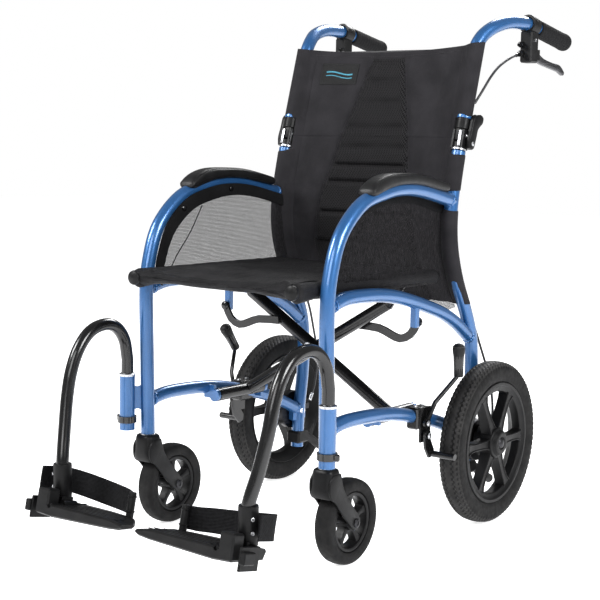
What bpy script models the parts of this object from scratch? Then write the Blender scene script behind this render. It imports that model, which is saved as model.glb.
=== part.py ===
"""Folding transport wheelchair with a scissor cross-brace.

Frame: metres, +Z up, the chair faces -Y, and +X is the sitter's left.
The origin is on the floor, under the middle of the whole chair's box.
"""

import math

import bmesh
import bpy
from mathutils import Matrix, Vector

# ---------------------------------------------------------------- driving dimensions
GAP = 0.0003            # kept between neighbouring solids
FRAME_X = 0.204         # side-frame plane
TUBE_R = 0.0125         # main frame tube
LEG_Y, LEG_BOTTOM_Z = -0.259, 0.180

REAR_WHEEL_R, REAR_WHEEL_W = 0.1555, 0.045
REAR_AXLE = Vector((0.254, 0.206, REAR_WHEEL_R))
RIM_R = 0.1170
AXLE_R = 0.0080

CASTER_R, CASTER_W = 0.075, 0.033
CASTER_TRAIL = 0.062
CASTER_RIM_R = 0.0525
CASTER_AXLE_R = 0.0050
STEM_R = 0.0060
FORK_SHOULDER_Z, FORK_NECK = 0.155, 0.84     # the fork is narrower above this height

PIVOT_X, PIVOT_Z = 0.178, 0.232      # lower pivots of the cross-brace
BRACE_R = 0.0115
CENTRE_Z = 0.340                     # where the two braces cross
BRACE_A_Y, BRACE_B_Y = 0.0015, -0.0255
PIVOT_FRONT_Y, PIVOT_REAR_Y = -0.094, 0.041
RAIL_X, RAIL_Z, RAIL_R = 0.176, 0.476, 0.011
RAIL_FRONT_Y, RAIL_REAR_Y = -0.326, 0.112

LINK_FRAME = Vector((0.204, 0.0, 0.400))   # link arm's pivot on the side frame
LINK_BRACE = Vector((0.071, 0.0, 0.383))   # and its end at the brace
LINK_Y = {1: 0.0160, -1: -0.0400}

BACK_PIVOT = Vector((0.203, 0.152, 0.738))
BACK_LEAN = math.radians(-16)        # the back canes lean rearwards
CHEEK_GAP = 0.0160
PAD_HALF = 0.0168                    # half an armrest pad's width

SOCKET = Vector((0.2275, -0.290, 0.188))
SOCKET_TOP = 0.289
HANGER_R = 0.0110
PLATE_FRONT_Y, PLATE_Z = -0.524, 0.083   # lower front edge of the footplates
PLATE_TILT = math.radians(12)        # their toe edge is raised
PLATE_TOP = 0.0185                   # top face above the lower front edge, along the tilt
PLATE_TIP_X = 0.0165                 # half the gap between the two plates
FLIP_X, FLIP_RISE = 0.186, 0.016     # the axis that a footplate flips up on
HEEL_POST = (0.060, 0.066)           # x, and distance behind the front edge
WEBBING_HALF = 0.0016

PARK_PIVOT = Vector((0.238, 0.018, 0.216))
SHOE_PIVOT = Vector((0.238, 0.022, 0.192))
PARK_TURN = {1: 0.0, -1: math.radians(33)}   # how far each lever stands forward at rest
SHOE_SHARE = 0.235                           # of the lever's turn
LEVER_SHORTER = {1: Vector((0, 0, 0)), -1: Vector((0, -0.0165, -0.0180))}
GRIP_DIR = Vector((0.003, 0.152, -0.025)).normalized()
GRIP_START = Vector((0.2240, 0.400, 0.9554))
BRAKE_PIVOT = Vector((0.2240, 0.396, 0.903))
RELEASE_PIVOT = Vector((0.2220, 0.155, 0.724))

# ---------------------------------------------------------------- colours
BLUE = (0.030, 0.150, 0.560, 1)
BLACK_PAINT = (0.012, 0.012, 0.013, 1)
BLACK_PLASTIC = (0.018, 0.018, 0.019, 1)
RUBBER = (0.030, 0.030, 0.031, 1)
FABRIC = (0.022, 0.021, 0.024, 1)
STEEL = (0.62, 0.63, 0.65, 1)

SIDES = {"left": 1, "right": -1}


# ---------------------------------------------------------------- scene and materials
def clear_scene():
    for obj in list(bpy.data.objects):
        bpy.data.objects.remove(obj, do_unlink=True)


def new_collection(name):
    collection = bpy.data.collections.new(name)
    bpy.context.scene.collection.children.link(collection)
    return collection


def new_material(name, colour, roughness, metallic=0.0):
    material = bpy.data.materials.new(name)
    material.use_nodes = True
    shader = material.node_tree.nodes["Principled BSDF"]
    shader.inputs["Base Color"].default_value = colour
    shader.inputs["Roughness"].default_value = roughness
    shader.inputs["Metallic"].default_value = metallic
    material.diffuse_color = colour
    return material


# ---------------------------------------------------------------- curves and sections
def smooth_path(points, steps=4):
    """Points along a Catmull-Rom curve through the given ones."""
    points = [Vector(p) for p in points]
    ends = [points[0] * 2 - points[1], *points, points[-1] * 2 - points[-2]]
    path = []
    for before, start, stop, after in zip(ends, ends[1:], ends[2:], ends[3:]):
        for step in range(steps):
            t = step / steps
            path.append(
                0.5
                * (
                    2 * start
                    + (stop - before) * t
                    + (2 * before - 5 * start + 4 * stop - after) * t**2
                    + (3 * start - before - 3 * stop + after) * t**3
                )
            )
    return [*path, points[-1]]


def on_plane(x, points):
    """(y, z) pairs as points in the plane at x."""
    return [(x, y, z) for y, z in points]


# ---------------------------------------------------------------- solids
def object_from(bm, name):
    mesh = bpy.data.meshes.new(name)
    bmesh.ops.recalc_face_normals(bm, faces=bm.faces)
    if bm.calc_volume(signed=True) < 0:
        bmesh.ops.reverse_faces(bm, faces=bm.faces)
    bm.to_mesh(mesh)
    bm.free()
    obj = bpy.data.objects.new(name, mesh)
    CHAIR.objects.link(obj)
    return obj


def evaluated_copy(obj, name):
    """The object as the viewport shows it, as a plain mesh object that replaces it."""
    bpy.context.view_layer.update()
    graph = bpy.context.evaluated_depsgraph_get()
    mesh = bpy.data.meshes.new_from_object(obj.evaluated_get(graph))
    mesh.transform(obj.matrix_world)
    bpy.data.objects.remove(obj, do_unlink=True)
    bm = bmesh.new()
    bm.from_mesh(mesh)
    bpy.data.meshes.remove(mesh)
    bmesh.ops.remove_doubles(bm, verts=bm.verts, dist=0.00002)
    bmesh.ops.dissolve_degenerate(bm, edges=bm.edges, dist=0.00001)
    return object_from(bm, name)


def tube(name, points, radius, sides=10):
    """A round bar along the points, with closed ends."""
    curve = bpy.data.curves.new(name, "CURVE")
    curve.dimensions = "3D"
    curve.bevel_depth = radius
    curve.bevel_resolution = (sides - 4) // 2
    curve.use_fill_caps = True
    spline = curve.splines.new("POLY")
    spline.points.add(len(points) - 1)
    for point, place in zip(spline.points, points):
        point.co = (*place, 1)
    obj = bpy.data.objects.new(name, curve)
    CHAIR.objects.link(obj)
    return evaluated_copy(obj, name)


def cylinder(name, start, stop, radius, sides=16, end_radius=None):
    """A cylinder, or a cone, between two points."""
    start, stop = Vector(start), Vector(stop)
    bm = bmesh.new()
    bmesh.ops.create_cone(
        bm,
        cap_ends=True,
        segments=sides,
        radius1=radius,
        radius2=radius if end_radius is None else end_radius,
        depth=(stop - start).length,
    )
    turn = (stop - start).to_track_quat("Z", "Y").to_matrix().to_4x4()
    bm.transform(Matrix.Translation((start + stop) / 2) @ turn)
    return object_from(bm, name)


def box(name, low, high, bevel=0.0, turn=None, about=None):
    """A box between two corners, with bevelled edges, turned about a point."""
    low, high = Vector(low), Vector(high)
    middle, size = (low + high) / 2, high - low
    bm = bmesh.new()
    bmesh.ops.create_cube(bm, size=1)
    bm.transform(Matrix.Translation(middle) @ Matrix.Diagonal((*map(abs, size), 1)))
    if bevel:
        bmesh.ops.bevel(
            bm, geom=bm.edges, offset=bevel, segments=1, affect="EDGES", profile=0.5
        )
    if turn:
        about = Vector(about or middle)
        bm.transform(Matrix.Translation(about) @ turn @ Matrix.Translation(-about))
    return object_from(bm, name)


def slab(name, outline, axis, low, high, bevel=0.0):
    """A flat outline, as a 2D curve, extruded along an axis from low to high."""
    curve = bpy.data.curves.new(name, "CURVE")
    curve.dimensions = "2D"
    curve.fill_mode = "BOTH"
    curve.extrude = abs(high - low) / 2
    spline = curve.splines.new("POLY")
    spline.points.add(len(outline) - 1)
    spline.use_cyclic_u = True
    for point, (across, up) in zip(spline.points, outline):
        point.co = (across, up, 0, 1)
    obj = bpy.data.objects.new(name, curve)
    CHAIR.objects.link(obj)
    frames = {
        "X": Matrix(((0, 0, 1), (1, 0, 0), (0, 1, 0))),
        "Y": Matrix(((1, 0, 0), (0, 0, -1), (0, 1, 0))),
        "Z": Matrix.Identity(3),
    }
    along = {"X": (1, 0, 0), "Y": (0, 1, 0), "Z": (0, 0, 1)}[axis]
    shift = Matrix.Translation(Vector(along) * (low + high) / 2)
    obj.matrix_world = shift @ frames[axis].to_4x4()
    obj = evaluated_copy(obj, name)
    if bevel:
        add_bevel(obj, bevel)
        obj = evaluated_copy(obj, name)
    return obj


def add_bevel(obj, width, segments=1):
    bevel = obj.modifiers.new("rounded_edges", "BEVEL")
    bevel.width = width
    bevel.segments = segments
    bevel.limit_method = "ANGLE"
    bevel.angle_limit = math.radians(50)


def turned(name, profile, centre, axis="X", sides=32, flip=1):
    """A ring or disc: (radius, along) pairs spun about an axis by a Screw modifier."""
    bm = bmesh.new()
    corners = [bm.verts.new((radius, 0, along * flip)) for radius, along in profile]
    closing = [] if profile[0][0] == profile[-1][0] == 0 else corners[:1]
    for corner, following in zip(corners, corners[1:] + closing):
        bm.edges.new((corner, following))
    mesh = bpy.data.meshes.new(name)
    bm.to_mesh(mesh)
    bm.free()
    obj = bpy.data.objects.new(name, mesh)
    CHAIR.objects.link(obj)
    screw = obj.modifiers.new("turn", "SCREW")
    screw.steps = screw.render_steps = sides
    screw.use_merge_vertices = True
    screw.merge_threshold = 0.00005
    screw.use_normal_calculate = True
    turn = Matrix.Rotation(math.radians(90), 4, "Y") if axis == "X" else Matrix.Identity(4)
    obj.matrix_world = Matrix.Translation(centre) @ turn
    return evaluated_copy(obj, name)


def combine(base, others, operation):
    """The base joined with the others, or cut by them; the others are used up."""
    name = base.name
    for other in others:
        modifier = base.modifiers.new(other.name, "BOOLEAN")
        modifier.operation = operation
        modifier.solver = "EXACT"
        modifier.object = other
        other.hide_render = True
        other.display_type = "WIRE"
        CHAIR.objects.unlink(other)
        CUTTERS.objects.link(other)
        bpy.context.view_layer.update()
    solid = evaluated_copy(base, name)
    for other in others:
        bpy.data.objects.remove(other, do_unlink=True)
    solid.name = name
    return solid


def joined(base, *others):
    return combine(base, others, "UNION")


def cut(base, *others):
    return combine(base, others, "DIFFERENCE")


# ---------------------------------------------------------------- bodies
BODIES = {}


def new_body(name, pivot, parent=None):
    """An empty on a joint's axis, which the body's pieces are parented to."""
    empty = bpy.data.objects.new("pivot_" + name, None)
    empty.empty_display_size = 0.03
    CHAIR.objects.link(empty)
    pivot = Vector(pivot)
    empty.location = pivot
    if parent:
        empty.parent = BODIES[parent][0]
        empty.location = pivot - BODIES[parent][1]
    BODIES[name] = (empty, pivot)


def finish(obj, name, body, material):
    """Names a piece, gives it its material and hangs it on its body's empty."""
    empty, pivot = BODIES[body]
    obj.name = name
    obj.data.name = name
    obj.data.transform(Matrix.Translation(-pivot))
    obj.parent = empty
    obj.data.materials.clear()
    obj.data.materials.append(material)
    obj.data.shade_smooth()
    obj.data.set_sharp_from_angle(angle=math.radians(38))
    return obj


def sided(vector, s):
    """A left-hand point, or its mirror image on the right for s = -1."""
    return Vector((vector[0] * s, vector[1], vector[2]))


def sided_cylinder(name, start, stop, radius, s, sides):
    return cylinder(name, sided(start, s), sided(stop, s), radius, sides)


def sided_box(name, low, high, s, **more):
    low, high = sided(low, s), sided(high, s)
    return box(name, (min(low.x, high.x), *low[1:]), (max(low.x, high.x), *high[1:]), **more)


# ---------------------------------------------------------------- side frame
def post_path(s):
    """The rear post, from its tail up to the back hinge."""
    return smooth_path(
        on_plane(
            FRAME_X * s,
            [
                (0.203, 0.090),
                (0.206, 0.156),
                (0.216, 0.230),
                (0.219, 0.292),
                (0.212, 0.352),
                (0.190, 0.402),
                (0.150, 0.468),
                (0.127, 0.528),
                (0.121, 0.582),
                (0.128, 0.640),
                (BACK_PIVOT.y - 0.0083, BACK_PIVOT.z - 0.0285),
            ],
        ),
        2,
    )


def arch_points():
    """The leg and armrest arch, as (y, z), from the caster up and back to the post."""
    return [
        (LEG_Y, LEG_BOTTOM_Z),
        (-0.263, 0.330),
        (-0.266, 0.440),
        (-0.2585, 0.503),
        (-0.233, 0.566),
        (-0.175, 0.616),
        (-0.108, 0.635),
        (-0.050, 0.642),
        (0.018, 0.638),
        (0.124, 0.618),
    ]


def seat_arch_points():
    return [(-0.262, 0.450), (-0.199, 0.461), (-0.073, 0.454), (0.066, 0.420), (0.142, 0.391), (0.206, 0.352)]


def lower_arch_points():
    return [(-0.260, 0.242), (-0.196, 0.250), (-0.073, 0.243), (0.035, 0.220), (0.114, 0.197), (0.205, 0.157)]


def footrest_socket(s):
    """The upright socket tube and the gusset that carries it on the leg."""
    bottom = sided(SOCKET, s)
    top = Vector((bottom.x, bottom.y, SOCKET_TOP))
    outer = cylinder("socket", bottom, top, 0.0140, 16)
    leg = Vector((FRAME_X * s, LEG_Y - 0.002, 0))
    foot = Vector((bottom.x, bottom.y, 0))
    middle = (leg + foot) / 2
    angle = math.atan2(leg.y - foot.y, leg.x - foot.x)
    gusset = box(
        "gusset",
        middle + Vector((-0.018, -0.0025, 0.2185)),
        middle + Vector((0.018, 0.0025, 0.277)),
        turn=Matrix.Rotation(angle, 4, "Z"),
        about=middle,
    )
    across = Vector((-math.sin(angle), math.cos(angle), 0)) * 0.01
    notches = [
        cylinder(f"notch_{rise.z}", middle - across + rise, middle + across + rise, 0.0085, 12)
        for rise in (Vector((0, 0, 0.2185)), Vector((0, 0, 0.277)))
    ]
    return outer, cut(gusset, *notches)


def brace_lug(s, y, rail_z):
    """A welded lug on the lower arch, with the pin that one end of a brace turns on."""
    axis = Vector((PIVOT_X * s, y, PIVOT_Z))
    half = Vector((0, 0.004, 0))
    boss = cylinder("lug", axis - half, axis + half, 0.0125, 12)
    web = sided_box(
        "lug_web",
        (PIVOT_X, y - 0.0035, min(rail_z, PIVOT_Z) - 0.006),
        (FRAME_X, y + 0.0035, max(rail_z, PIVOT_Z) + 0.006),
        s,
    )
    inward = -math.copysign(1, y)
    pin = cylinder("lug_pin", axis, axis + Vector((0, inward * 0.014, 0)), 0.0050, 10)
    return boss, web, pin


def side_frame(side, s):
    x = FRAME_X * s
    arch = tube("arch", smooth_path(on_plane(x, arch_points()), 2), TUBE_R, 10)
    pieces = [
        tube("post", post_path(s), TUBE_R, 10),
        tube("seat_arch", smooth_path(on_plane(x, seat_arch_points()), 2), TUBE_R - 0.0005, 10),
        tube("lower_arch", smooth_path(on_plane(x, lower_arch_points()), 2), TUBE_R - 0.0005, 10),
        *footrest_socket(s),
        *brace_lug(s, PIVOT_FRONT_Y - 0.0048, 0.246),
        *brace_lug(s, PIVOT_REAR_Y + 0.0048, 0.217),
        sided_box("axle_plate", (0.198, 0.184, 0.134), (0.2175, 0.226, 0.177), s, bevel=0.004),
    ]
    link_y = LINK_Y[s]
    stub_y = link_y - 0.0031 if s > 0 else link_y + 0.0031
    low, high = sorted((stub_y, stub_y - 0.013 * s))
    pieces.append(sided_box("link_stub", (0.1965, low, 0.390), (0.2115, high, 0.440), s, bevel=0.002))
    pin_end = link_y + 0.0062 * s
    pin_start = stub_y - 0.004 * s
    pieces.append(cylinder("link_pin", (x, pin_start, LINK_FRAME.z), (x, pin_end, LINK_FRAME.z), 0.0032, 8))
    frame = joined(arch, *pieces)
    stem_bore = cylinder(
        "stem_bore", (x, LEG_Y, LEG_BOTTOM_Z - 0.01), (x, LEG_Y, LEG_BOTTOM_Z + 0.040), STEM_R + 0.0007, 12
    )
    socket_bore = cylinder(
        "socket_bore",
        (SOCKET.x * s, SOCKET.y, SOCKET.z - 0.01),
        (SOCKET.x * s, SOCKET.y, SOCKET_TOP + 0.01),
        HANGER_R + 0.0006,
        16,
    )
    frame = cut(frame, stem_bore, socket_bore)
    return finish(frame, f"side_frame_{side}", f"frame_{side}", PAINT)


# ---------------------------------------------------------------- cross-brace
def cross_brace(letter, s, y):
    """One brace: pivot tube on the side s of its foot, and the seat rail on the other side."""
    foot = Vector((PIVOT_X * s, y, PIVOT_Z))
    slope = (CENTRE_Z - PIVOT_Z) / PIVOT_X
    knee = Vector((-0.150 * s, y, CENTRE_Z + 0.150 * slope))
    top = Vector((-RAIL_X * s, y, RAIL_Z - 0.004))
    bar = tube("bar", [foot, knee, top], BRACE_R, 12)
    pivot_tube = cylinder(
        "pivot_tube",
        (PIVOT_X * s, PIVOT_FRONT_Y, PIVOT_Z),
        (PIVOT_X * s, PIVOT_REAR_Y, PIVOT_Z),
        BRACE_R + 0.0005,
        14,
    )
    rail_x = -RAIL_X * s
    rail = cylinder("rail", (rail_x, RAIL_FRONT_Y, RAIL_Z), (rail_x, RAIL_REAR_Y, RAIL_Z), RAIL_R, 12)
    brace = joined(bar, pivot_tube, rail)
    bores = [
        cylinder(f"bore_{start}", (foot.x, start, foot.z), (foot.x, stop, foot.z), 0.0055, 12)
        for start, stop in (
            (PIVOT_FRONT_Y - 0.01, PIVOT_FRONT_Y + 0.013),
            (PIVOT_REAR_Y + 0.01, PIVOT_REAR_Y - 0.013),
        )
    ]
    bores += [
        cylinder("bolt_bore", (0, y - 0.02, CENTRE_Z), (0, y + 0.02, CENTRE_Z), 0.0050, 12),
    ]
    return finish(cut(brace, *bores), f"cross_brace_{letter}", f"brace_{letter}", BLACK_STEEL)


def centre_bolt():
    """The bolt that the two braces turn on, with its head and nut."""
    front, rear = BRACE_B_Y - BRACE_R - GAP, BRACE_A_Y + BRACE_R + GAP
    shank = cylinder("shank", (0, front - 0.002, CENTRE_Z), (0, rear + 0.002, CENTRE_Z), 0.0044, 10)
    head = cylinder("head", (0, front - 0.006, CENTRE_Z), (0, front, CENTRE_Z), 0.0085, 12)
    nut = cylinder("nut", (0, rear, CENTRE_Z), (0, rear + 0.006, CENTRE_Z), 0.0085, 6)
    return finish(joined(shank, head, nut), "brace_centre_bolt", "brace_a", STEEL_BRIGHT)


def link_arm(side, s):
    """A flat cranked arm from the side frame's stub to the brace."""
    y = LINK_Y[s]
    centre_line = [
        Vector((p[0] * s, 0, p[1]))
        for p in [
            (LINK_FRAME.x, LINK_FRAME.z),
            (0.190, 0.376),
            (0.168, 0.366),
            (0.146, 0.372),
            (0.120, 0.381),
            (LINK_BRACE.x, LINK_BRACE.z),
        ]
    ]
    path = smooth_path(centre_line, 2)
    left_edge, right_edge = [], []
    for index, point in enumerate(path):
        before, after = path[max(index - 1, 0)], path[min(index + 1, len(path) - 1)]
        along = (after - before).normalized()
        across = Vector((-along.z, 0, along.x)) * 0.0075
        left_edge.append(point + across)
        right_edge.append(point - across)
    outline = [(p.x, p.z) for p in left_edge + right_edge[::-1]]
    arm = slab("arm", outline, "Y", y - 0.0025, y + 0.0025)
    pivot, along_y = sided((LINK_FRAME.x, y, LINK_FRAME.z), s), Vector((0, 1, 0))
    eye = cylinder("eye", pivot - along_y * 0.0025, pivot + along_y * 0.0025, 0.0090, 14)
    arm = joined(arm, eye)
    bore = cylinder("bore", pivot - along_y * 0.01, pivot + along_y * 0.01, 0.0037, 10)
    return finish(cut(arm, bore), f"link_arm_{side}", f"link_{side}", BLACK_STEEL)


# ---------------------------------------------------------------- wheels
def caster(side, s):
    swivel_x = FRAME_X * s
    axle = Vector((swivel_x, LEG_Y + CASTER_TRAIL, CASTER_R))
    outline = [
        (-0.2765, 0.1765),
        (-0.2415, 0.1765),
        (-0.2370, 0.1620),
        (-0.2290, 0.1410),
        (-0.2145, 0.1170),
        (-0.1880, 0.0880),
        (-0.1795, 0.0690),
        (-0.1830, 0.0560),
        (-0.1930, 0.0520),
        (-0.2035, 0.0630),
        (-0.2250, 0.0850),
        (-0.2495, 0.1090),
        (-0.2660, 0.1260),
        (-0.2790, 0.1390),
        (-0.2825, 0.1500),
        (-0.2805, 0.1660),
    ]
    closed = smooth_path([(0, *point) for point in [*outline, outline[0]]], 2)
    outline = [tuple(point.yz) for point in closed[:-1]]
    half = CASTER_W / 2 + 0.0070
    fork = slab("fork", outline, "X", swivel_x - half, swivel_x + half, bevel=0.003)
    for corner in fork.data.vertices:
        if corner.co.z > FORK_SHOULDER_Z:
            corner.co.x = swivel_x + (corner.co.x - swivel_x) * FORK_NECK
    reach = Vector((CASTER_W / 2 + 0.003, 0, 0))
    fork = cut(
        fork,
        cylinder("wheel_room", axle - reach, axle + reach, CASTER_R + 0.004, 28),
        box("front_room", axle - reach - Vector((0, 0.070, 0.05)), axle + reach + Vector((0, 0, 0.058))),
    )
    pin_half = Vector((half - 0.002, 0, 0))
    stem_top = LEG_BOTTOM_Z + 0.036
    fork = joined(
        fork,
        cylinder("axle_pin", axle - pin_half, axle + pin_half, CASTER_AXLE_R, 12),
        cylinder("stem", (swivel_x, LEG_Y, 0.170), (swivel_x, LEG_Y, stem_top), STEM_R, 12),
        cylinder("washer", (swivel_x, LEG_Y, 0.175), (swivel_x, LEG_Y, LEG_BOTTOM_Z - 0.0005), 0.0135, 16),
    )
    finish(fork, f"caster_fork_{side}", f"caster_{side}", PLASTIC)

    w = 0.0115
    rim = turned(
        "rim", [(CASTER_RIM_R, w), (CASTER_RIM_R, -w), (0.0430, -w), (0.0430, w)], axle, sides=20
    )
    hub = cylinder("hub", axle - Vector((0.0150, 0, 0)), axle + Vector((0.0150, 0, 0)), 0.0150, 16)
    spokes = []
    for turn in range(5):
        angle = math.tau * (turn + 0.25) / 5
        middle = axle + Vector((0, math.cos(angle), math.sin(angle))) * 0.0285
        spokes.append(
            box(
                f"spoke_{turn}",
                middle - Vector((0.0070, 0.0048, 0.0165)),
                middle + Vector((0.0070, 0.0048, 0.0165)),
                turn=Matrix.Rotation(angle - math.pi / 2, 4, "X"),
            )
        )
    rim = joined(rim, hub, *spokes)
    bore_half = Vector((0.03, 0, 0))
    bore = cylinder("bore", axle - bore_half, axle + bore_half, CASTER_AXLE_R + 0.0006, 12)
    finish(cut(rim, bore), f"caster_rim_{side}", f"caster_wheel_{side}", PLASTIC)
    finish(
        turned(
            "tyre",
            [
                (CASTER_R - 0.004, 0.0125),
                (CASTER_R, 0.006),
                (CASTER_R, -0.006),
                (CASTER_R - 0.004, -0.0125),
                (0.0620, -CASTER_W / 2),
                (CASTER_RIM_R + 0.0006, -0.0135),
                (CASTER_RIM_R + 0.0006, 0.0135),
                (0.0620, CASTER_W / 2),
            ],
            axle,
            sides=24,
        ),
        f"caster_tyre_{side}",
        f"caster_wheel_{side}",
        TYRE,
    )


def rear_wheel(side, s):
    axle = sided(REAR_AXLE, s)
    out = Vector((s, 0, 0))
    w = 0.0190
    rim = turned("rim", [(RIM_R, w), (RIM_R, -w), (0.1010, -w), (0.0985, 0), (0.1010, w)], axle, sides=30)
    hub = cylinder("hub", axle - out * 0.0190, axle + out * 0.0260, 0.0270, 20)
    cap = cylinder("cap", axle + out * 0.0240, axle + out * 0.0305, 0.0215, 20, end_radius=0.0190)
    spokes = []
    for turn in range(6):
        angle = math.tau * turn / 6 + math.radians(8)
        middle = axle + Vector((0, math.cos(angle), math.sin(angle))) * 0.061 + out * 0.002
        spokes.append(
            box(
                f"spoke_{turn}",
                middle - Vector((0.0140, 0.0085, 0.0410)),
                middle + Vector((0.0140, 0.0085, 0.0410)),
                turn=Matrix.Rotation(angle - math.pi / 2, 4, "X"),
            )
        )
    rim = joined(rim, hub, cap, *spokes)
    bore = cylinder("bore", axle - out * 0.04, axle + out * 0.0170, AXLE_R + 0.0006, 14)
    finish(cut(rim, bore), f"rear_rim_{side}", f"rear_wheel_{side}", PLASTIC)
    finish(
        turned(
            "tyre",
            [
                (REAR_WHEEL_R - 0.0050, 0.0130),
                (REAR_WHEEL_R, 0.0050),
                (REAR_WHEEL_R, -0.0050),
                (REAR_WHEEL_R - 0.0050, -0.0130),
                (0.1370, -REAR_WHEEL_W / 2),
                (RIM_R + 0.0008, -0.0185),
                (RIM_R + 0.0008, 0.0185),
                (0.1370, REAR_WHEEL_W / 2),
            ],
            axle,
            sides=32,
        ),
        f"rear_tyre_{side}",
        f"rear_wheel_{side}",
        TYRE,
    )
    inner_x = FRAME_X + 0.0138
    spindle_end = REAR_AXLE.x + 0.0160

    def on_axle(distance):
        return Vector((distance * s, axle.y, axle.z))

    hub_brake = joined(
        cylinder("drum", on_axle(inner_x), on_axle(inner_x + 0.0155), 0.0400, 24),
        cylinder("spindle", on_axle(inner_x + 0.01), on_axle(spindle_end), AXLE_R, 12),
        sided_box("cable_arm", (inner_x + 0.001, 0.236, 0.150), (inner_x + 0.006, 0.262, 0.162), s),
    )
    finish(hub_brake, f"hub_brake_{side}", f"frame_{side}", DARK_METAL)


# ---------------------------------------------------------------- arms and guards
def armrest_pad(side, s):
    outline = [
        (-0.1620, 0.6330),
        (-0.1590, 0.6430),
        (-0.1480, 0.6530),
        (-0.1320, 0.6610),
        (-0.1120, 0.6665),
        (-0.0870, 0.6690),
        (-0.0400, 0.6695),
        (0.0000, 0.6675),
        (0.0400, 0.6610),
        (0.0850, 0.6520),
        (0.0960, 0.6470),
        (0.0900, 0.6350),
        (0.0150, 0.6450),
        (-0.0500, 0.6490),
        (-0.1080, 0.6410),
        (-0.1480, 0.6300),
    ]
    low, high = sorted((s * (FRAME_X - PAD_HALF), s * (FRAME_X + PAD_HALF)))
    pad = slab("pad", outline, "X", low, high, bevel=0.003)
    room = tube("arch_room", smooth_path(on_plane(FRAME_X * s, arch_points()[3:]), 2), TUBE_R + 0.0006, 10)
    return finish(cut(pad, room), f"armrest_pad_{side}", f"frame_{side}", PAD)


def side_guard(side, s):
    outline = [
        (-0.2500, 0.4620),
        (-0.2440, 0.5050),
        (-0.2180, 0.5620),
        (-0.1680, 0.6020),
        (-0.1080, 0.6200),
        (-0.0500, 0.6270),
        (0.0180, 0.6230),
        (0.1000, 0.6070),
        (0.1060, 0.5300),
        (0.1340, 0.4700),
        (0.1560, 0.4300),
        (0.1460, 0.4000),
        (0.0660, 0.4300),
        (-0.0730, 0.4640),
        (-0.1990, 0.4710),
    ]
    panel = slab("panel", outline, "X", s * 0.1885, s * 0.1910)
    return finish(panel, f"side_guard_{side}", f"frame_{side}", MESH_CLOTH)


# ---------------------------------------------------------------- back and handles
def lean():
    return Matrix.Rotation(BACK_LEAN, 4, "X")


def back_hinge(side, s):
    """The lower half of the folding-back joint: a clevis on the post, with its pin."""
    pivot = sided(BACK_PIVOT, s)
    up = lean() @ Vector((0, 0, 1))
    base = cylinder("base", pivot - up * 0.0275, pivot - up * 0.0135, TUBE_R, 16)
    cheeks = []
    for name, x in (("inner", -1), ("outer", 1)):
        low = pivot + Vector((x * CHEEK_GAP / 2, -0.0110, -0.0250))
        high = pivot + Vector((x * 0.0125, 0.0110, 0.0110))
        corners = sorted((low.x, high.x))
        cheeks.append(
            box(
                f"cheek_{name}",
                (corners[0], low.y, low.z),
                (corners[1], high.y, high.z),
                turn=lean(),
                about=pivot,
            )
        )
    pin = cylinder("pin", pivot - Vector((0.0140, 0, 0)), pivot + Vector((0.0140, 0, 0)), 0.0036, 10)
    return finish(joined(base, *cheeks, pin), f"back_hinge_{side}", f"frame_{side}", STEEL_BRIGHT)


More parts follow.
